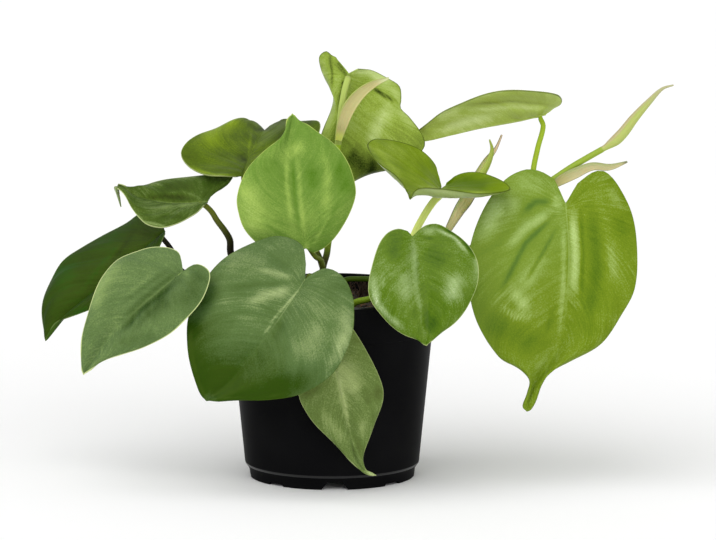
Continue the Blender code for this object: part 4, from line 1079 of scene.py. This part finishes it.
def add_stem(name, stem, blades):
    """A stem's foot in the soil and the stalks that rise from it or branch off one another."""
    x, y = stem["root"]
    heights = (SOIL_LEVEL - HOLE_DEPTH + 1, SOIL_LEVEL - 8, SOIL_LEVEL + 5)
    foot = [Vector((x, y, height)) * MM for height in heights]
    paint = STALK_PAINTS[name]
    pieces = [add_tube(name + "_foot", foot, [stem["thickness"]] * 3, paint)]
    for number, route in enumerate(stem["routes"]):
        leaf = route.get("leaf")
        points = [seen(*point) for point in route["points"]]
        start, end = route["thickness"]
        if route.get("rooted"):
            points = [foot[1], foot[2]] + points
        steps = len(points) - 1
        thicknesses = [start + (end - start) * i / steps for i in range(steps + 1)]
        if leaf:
            finish = leaf_end(blades[leaf], points[-1], KEEL_REACH.get(leaf, 1.0))
            thicknesses += [end] * (len(finish) - len(KEEL_TAPER)) + [end * share for share in KEEL_TAPER]
            points += finish
        section = stalk_section(leaf, STALK_FULLNESS.get((name, number), USUAL_FULLNESS))
        own_paint = STALK_PAINTS.get(leaf, paint)
        pieces.append(add_tube(f"{name}_stalk_{number}", points, thicknesses, own_paint, section=section))
    dress(fuse(name + "_stalks", pieces), name, name)


def add_new_leaf(name, line):
    """A rolled leaf: its free edge makes a step along the roll."""
    points = [seen(x, up, y) for x, up, y, thickness in line]
    points[0] += (points[0] - points[1]) * HIDDEN_SHARE
    steep = 0.03

    def rolled(u, v):
        past_edge = (u - FREE_EDGE) % 1
        away = 1 - past_edge if past_edge < 1 - steep else (past_edge - (1 - steep)) / steep
        stalk = ROLL_STALK_FULLNESS * smoothstep(0.43, 0.39, v)
        return max(stalk, 0.9 + EDGE_STEP * away * smoothstep(0.35, 0.5, v))

    widths = [point[3] for point in line]
    material = new_leaf_paint(name, *NEW_LEAF_COLOURS[name])
    spear = add_tube(name + "_roll", points, widths, material, ROLL_SIDES, rolled)
    dress(spear, name, name)


def add_sheath(name, line):
    """A dry sheath: a narrow channel, open to the front, that tapers to a point."""
    points = [seen(x, up, y) for x, up, y, width in line]
    stations = run_stations(points, [point[3] for point in line], SHEATH_ROWS)

    def place(u, v):
        centre, width, side, front = stations[round(v * SHEATH_ROWS)]
        turn = (2 * u - 1) * SHEATH_HALF_TURN
        ridge = 0.05 * math.sin(9 * v + 2 * u) + 0.04 * math.sin(24 * u)
        return centre + (side * math.sin(turn) + front * (0.5 - math.cos(turn) + ridge) * 0.6) * width / 2

    sheath = laid_grid(name + "_skin", SHEATH_COLUMNS, SHEATH_ROWS, place)
    paint = sheath_paint(name, SHEATH_LOOKS[name])
    sheath.data.materials.append(paint)
    sheath.data.materials.append(paint)
    thicken(sheath, SHEATH_THICKNESS)
    shade(sheath)
    dress(sheath, name, name)


# Pot


def wall_radius(height):
    """The outer radius of the pot's tapered wall."""
    return FOOT_RADIUS + SHOULDER_STEP + TAPER * height


def pot_profile():
    """Half of the pot's cut: (radius, height) points from under its floor, over the rim, to the floor."""
    disc = BASE_DISC_RADIUS
    disc_edge = disc + DISC_SLOPE
    shoulder = wall_radius(SHOULDER)
    band_foot = POT_HEIGHT - RIM_BAND
    below_band = wall_radius(band_foot)
    band = below_band + BAND_STEP
    rim_inside = RIM_RADIUS - WALL
    floor_top = FOOT_HEIGHT + FLOOR_THICKNESS
    underneath = [
        (0.5, 0), (disc - 0.5, 0), (disc, 0.2), (disc_edge, FOOT_HEIGHT),
        (FOOT_RADIUS - FOOT_RING, FOOT_HEIGHT),
    ]
    foot_ring = [
        (FOOT_RADIUS - 2.3, 0.3), (FOOT_RADIUS - 2.0, 0), (FOOT_RADIUS - 0.3, 0), (FOOT_RADIUS, 0.3),
        (FOOT_RADIUS + 0.4, FOOT_HEIGHT),
    ]
    wall = [
        (shoulder - 0.7, SHOULDER - 1.2), (shoulder - 0.2, SHOULDER - 0.6), (shoulder, SHOULDER + 0.3),
        (wall_radius(40), 40), (wall_radius(70), 70), (below_band - 0.1, band_foot - 1.2),
    ]
    rim = [
        (below_band + 0.1, band_foot - 0.5), (band - 0.3, band_foot - 0.1), (band, band_foot + 0.4),
        (RIM_RADIUS - 0.05, POT_HEIGHT - 0.8), (RIM_RADIUS - 0.15, POT_HEIGHT - 0.3),
        (RIM_RADIUS - 0.5, POT_HEIGHT), (rim_inside + 0.3, POT_HEIGHT), (rim_inside, POT_HEIGHT - 0.4),
    ]
    inside = [
        (below_band - WALL, band_foot), (shoulder - WALL, floor_top + 1.2), (shoulder - WALL - 1, floor_top),
        (disc_edge - 0.6, floor_top), (disc - 0.6, FLOOR_THICKNESS), (0.5, FLOOR_THICKNESS),
    ]
    return underneath + foot_ring + wall + rim + inside


def raise_rings(name, profile, steps):
    """A round wall raised ring by ring through (radius, height) points in millimetres."""
    deselect()
    radius, height = profile[0]
    bpy.ops.mesh.primitive_circle_add(vertices=steps, radius=radius * MM, location=(0, 0, height * MM))
    wall = bpy.context.object
    wall.name = wall.data.name = name
    bpy.ops.object.transform_apply(location=True, rotation=False, scale=False)
    with editing():
        bpy.ops.mesh.edge_face_add()
        bpy.ops.mesh.select_all(action="SELECT")
        for next_radius, next_height in profile[1:]:
            bpy.ops.mesh.extrude_region_move(
                TRANSFORM_OT_translate={"value": (0, 0, (next_height - height) * MM)})
            scale = next_radius / radius
            bpy.ops.transform.resize(value=(scale, scale, 1), center_override=(0, 0, next_height * MM))
            radius, height = next_radius, next_height
        bpy.ops.mesh.select_all(action="SELECT")
        bpy.ops.mesh.normals_make_consistent(inside=False)
    return wall


def cut_away(thing, cutter):
    """Takes the cutter's shape out of the thing, and the cutter with it."""
    deselect()
    bpy.context.view_layer.objects.active = thing
    thing.select_set(True)
    bpy.ops.object.modifier_add(type="BOOLEAN")
    difference = thing.modifiers[-1]
    difference.operation = "DIFFERENCE"
    difference.solver = "EXACT"
    difference.object = cutter
    bpy.ops.object.modifier_apply(modifier=difference.name)
    bpy.data.objects.remove(cutter)


def cut_foot(pot, angle, bottom_width, top_width, height):
    """An arch between two feet."""
    deselect()
    middle = (height - 1) / 2
    bpy.ops.mesh.primitive_cube_add(size=MM, location=((FOOT_RADIUS - 1) * MM, 0, middle * MM))
    wedge = bpy.context.object
    wedge.scale = (9, bottom_width, height + 1)
    bpy.ops.object.transform_apply(location=True, rotation=False, scale=True)
    bpy.ops.object.mode_set(mode="EDIT")
    bpy.ops.mesh.select_all(action="DESELECT")
    bpy.ops.object.mode_set(mode="OBJECT")
    for vertex in wedge.data.vertices:
        vertex.select = vertex.co.z > 0
    bpy.ops.object.mode_set(mode="EDIT")
    bpy.ops.transform.resize(value=(1, top_width / bottom_width, 1), center_override=(0, 0, 0))
    bpy.ops.mesh.select_all(action="SELECT")
    bpy.ops.transform.rotate(value=-angle, orient_axis="Z", center_override=(0, 0, 0))
    bpy.ops.object.mode_set(mode="OBJECT")
    cut_away(pot, wedge)


def drill_drain(pot, angle):
    """A drain hole between the raised disc and the foot ring."""
    from_axis = (BASE_DISC_RADIUS + DISC_SLOPE + FOOT_RADIUS - FOOT_RING) / 2
    floor_middle = FOOT_HEIGHT + FLOOR_THICKNESS / 2
    place = Vector((from_axis * math.cos(angle), from_axis * math.sin(angle), floor_middle)) * MM
    deselect()
    bpy.ops.mesh.primitive_cylinder_add(vertices=24, radius=DRAIN_RADIUS * MM, depth=6 * MM, location=place)
    cut_away(pot, bpy.context.object)


def add_pot():
    """One turned shell, cut between its feet and drilled, with shinier edges."""
    pot = raise_rings("pot_shell", pot_profile(), 128)
    for side in range(4):
        angle = math.radians(FIRST_ARCH + 90 * side)
        cut_foot(pot, angle, *ARCH)
        cut_foot(pot, angle + math.radians(45), *NOTCH)
    for hole in range(4):
        drill_drain(pot, math.radians(45 + 90 * hole))
    shade(pot, 38)
    for name, roughness, gloss in (("nursery_pot", 0.42, 0.01), ("nursery_pot_edges", 0.3, 0.45)):
        paint = Paint(name, roughness, Specular_IOR_Level=gloss)
        paint.colour(paint.shades(paint.grain(26.0), "070709", "0F0F10", "161617"))
        paint.bump(paint.grain(900.0, 3.0), 0.05, 0.35)
        pot.data.materials.append(paint.material)
    shiny = ((SHOULDER - 0.9, SHOULDER + 0.35), (POT_HEIGHT - 0.6, POT_HEIGHT + 1))
    for face in pot.data.polygons:
        height = face.center.z / MM
        outside = math.hypot(face.center.x, face.center.y) / MM > FOOT_RADIUS + 0.5
        face.material_index = int(outside and any(low < height < high for low, high in shiny))
    dress(pot, "nursery_pot", "nursery_pot")


# Soil


def soil_height(from_axis):
    """The soil stands a little higher around the stems than along the wall."""
    return SOIL_LEVEL + 2.0 + 1.6 * smoothstep(RIM_RADIUS - 8, RIM_RADIUS - 40, from_axis)


def drawn_turn(draw, low, high, axis):
    return Matrix.Rotation(draw.uniform(low, high), 4, axis)


def strew(name, shapes, count, next_place):
    """Copies of the shapes by turns, each moved by the next transform, as one piece of the soil."""
    pieces = []
    for number in range(count):
        piece = shapes[number % len(shapes)].copy()
        piece.data = piece.data.copy()
        bpy.context.scene.collection.objects.link(piece)
        piece.data.transform(next_place())
        pieces.append(piece)
    for shape in shapes:
        bpy.data.objects.remove(shape)
    dress(fuse(name, pieces), "potting_soil")


def model_crumb(number, material):
    """One uneven crumb or strip of bark, 2.4 mm across."""
    deselect()
    bpy.ops.mesh.primitive_ico_sphere_add(subdivisions=1, radius=1.2 * MM)
    crumb = bpy.context.object
    crumb.name = crumb.data.name = f"crumb_{number}"
    crumb.data.materials.append(material)
    with editing():
        bpy.ops.transform.resize(value=(0.9 + 0.28 * number, 0.95 - 0.06 * number, 0.75 - 0.06 * number))
        bpy.ops.transform.vertex_random(offset=0.35 * MM, seed=number)
    return crumb


def strew_crumbs(radius, barks):
    shapes = [model_crumb(number, barks[number % len(barks)]) for number in range(CRUMB_SHAPES)]
    draw = random.Random(CRUMB_SEED)

    def next_place():
        reach = radius * math.sqrt(draw.random()) * 0.97
        turn = draw.uniform(0, 2 * math.pi)
        size = draw.uniform(0.6, 1.5)
        place = Vector((reach * math.cos(turn), reach * math.sin(turn), soil_height(reach) + 0.8)) * MM
        spin = drawn_turn(draw, 0, 2 * math.pi, "Z") @ drawn_turn(draw, -0.5, 0.5, "X")
        return Matrix.Translation(place) @ spin @ Matrix.Scale(size, 4)

    strew("soil_crumbs", shapes, CRUMBS, next_place)


def stand_fibres(material):
    """Dry brown fibres that stand in the soil between the stems."""
    shapes = []
    for number, (bend, height) in enumerate(FIBRE_SHAPES):
        line = [Vector((bend * share * share, bend * share, height * share)) * MM
                for share in (0, 0.35, 0.7, 1)]
        shapes.append(add_tube(f"fibre_{number}", line, [0.9, 0.8, 0.6, 0.3], material, 6))
    draw = random.Random(FIBRE_SEED)

    def next_place():
        x, y = draw.uniform(3, 30), draw.uniform(20, 40)
        place = Vector((x, y, soil_height(math.hypot(x, y)) - 1)) * MM
        lean = drawn_turn(draw, -0.35, 0.35, "Y") @ drawn_turn(draw, -0.25, 0.25, "X")
        spin = drawn_turn(draw, 0, 2 * math.pi, "Z")
        stretch = Matrix.Diagonal((1.2, 1.2, draw.uniform(0.6, 1.05), 1))
        return Matrix.Translation(place) @ lean @ spin @ stretch

    strew("soil_fibres", shapes, FIBRES, next_place)


def add_soil():
    """Uneven potting mix with crumbs, bark and fibres on it, over the part's own soil."""
    radius = RIM_RADIUS - WALL - SOIL_GAP

    def place(u, v):
        a, b = 2 * u - 1, 2 * v - 1
        x = a * math.sqrt(1 - b * b / 2) * radius
        y = b * math.sqrt(1 - a * a / 2) * radius
        rough = noise.fractal(Vector((x, y, 3)) / 9, 0.8, 2.1, 5)
        return Vector((x, y, soil_height(math.hypot(x, y)) + 1.5 * rough)) * MM

    top = laid_grid("soil_top", SOIL_CELLS, SOIL_CELLS, place)
    mix = plain_paint("potting_soil", 0.95, (420.0, 4.0, 0.7), ("120C08", "2E1F15", "5A4330"), (0.8, 0.9))
    top.data.materials.append(mix)
    top.data.materials.append(mix)
    thicken(top, 1.0)
    shade(top, 60)
    dress(top, "potting_soil")
    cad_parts["potting_soil"].data.materials.clear()
    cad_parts["potting_soil"].data.materials.append(mix)
    barks = [plain_paint(f"bark_{number}", 0.9, (500.0, 3.0), colours)
             for number, colours in enumerate(BARK_COLOURS)]
    strew_crumbs(radius, barks)
    stand_fibres(barks[0])


# Scene


def set_up(name, data):
    """A camera or lamp in the scene."""
    thing = bpy.data.objects.new(name, data)
    bpy.context.scene.collection.objects.link(thing)
    return thing


def add_stage():
    deselect()
    bpy.ops.mesh.primitive_plane_add(size=FLOOR_SIZE)
    floor = bpy.context.object
    floor.name = "floor"
    pale = Paint("pale_floor", 0.9)
    pale.colour((0.99, 0.99, 0.99, 1))
    floor.data.materials.append(pale.material)


def add_soft_light(name, towards, strength, spread):
    """A wide soft light from far away, so that it is even all over the floor."""
    data = bpy.data.lights.new(name, "SUN")
    data.energy = strength
    data.angle = math.radians(spread)
    lamp = set_up(name, data)
    lamp.location = Vector(towards) * 2
    lamp.rotation_euler = Vector(towards).to_track_quat("Z", "Y").to_euler()


def add_camera():
    data = bpy.data.cameras.new("camera")
    data.sensor_width = SENSOR_WIDTH
    data.lens = SENSOR_WIDTH * CAMERA_DISTANCE / VIEW_WIDTH
    data.clip_end = 100
    camera = set_up("camera", data)
    forward = Vector((0, math.cos(VIEW_RISE), -math.sin(VIEW_RISE)))
    camera.location = VIEW_CENTRE - CAMERA_DISTANCE * forward
    camera.rotation_euler = (math.pi / 2 - VIEW_RISE, 0, 0)
    bpy.context.scene.camera = camera


def add_light():
    world = bpy.data.worlds.new("studio")
    bpy.context.scene.world = world
    world.use_nodes = True
    background = world.node_tree.nodes["Background"]
    background.inputs[0].default_value = (1, 1, 1, 1)
    background.inputs[1].default_value = 0.55
    add_soft_light("key_light", (-0.6, -0.55, 1.0), 1.6, 70)
    add_soft_light("front_light", (0.4, -1.0, 0.4), 1.0, 55)
    bpy.context.scene.view_settings.view_transform = "Standard"


STALK_PAINTS = {
    name: stalk_paint(name.replace("leaf", "stalk"), *look) for name, look in STALK_COLOURS.items()}
add_camera()
add_pot()
add_soil()
blades = {name: add_leaf(name, leaf, seed) for seed, (name, leaf) in enumerate(LEAVES.items())}
for name, stem in STEMS.items():
    add_stem(name, stem, blades)
for name, line in NEW_LEAVES.items():
    add_new_leaf(name, line)
for name, line in SHEATHS.items():
    add_sheath(name, line)
add_stage()
add_light()
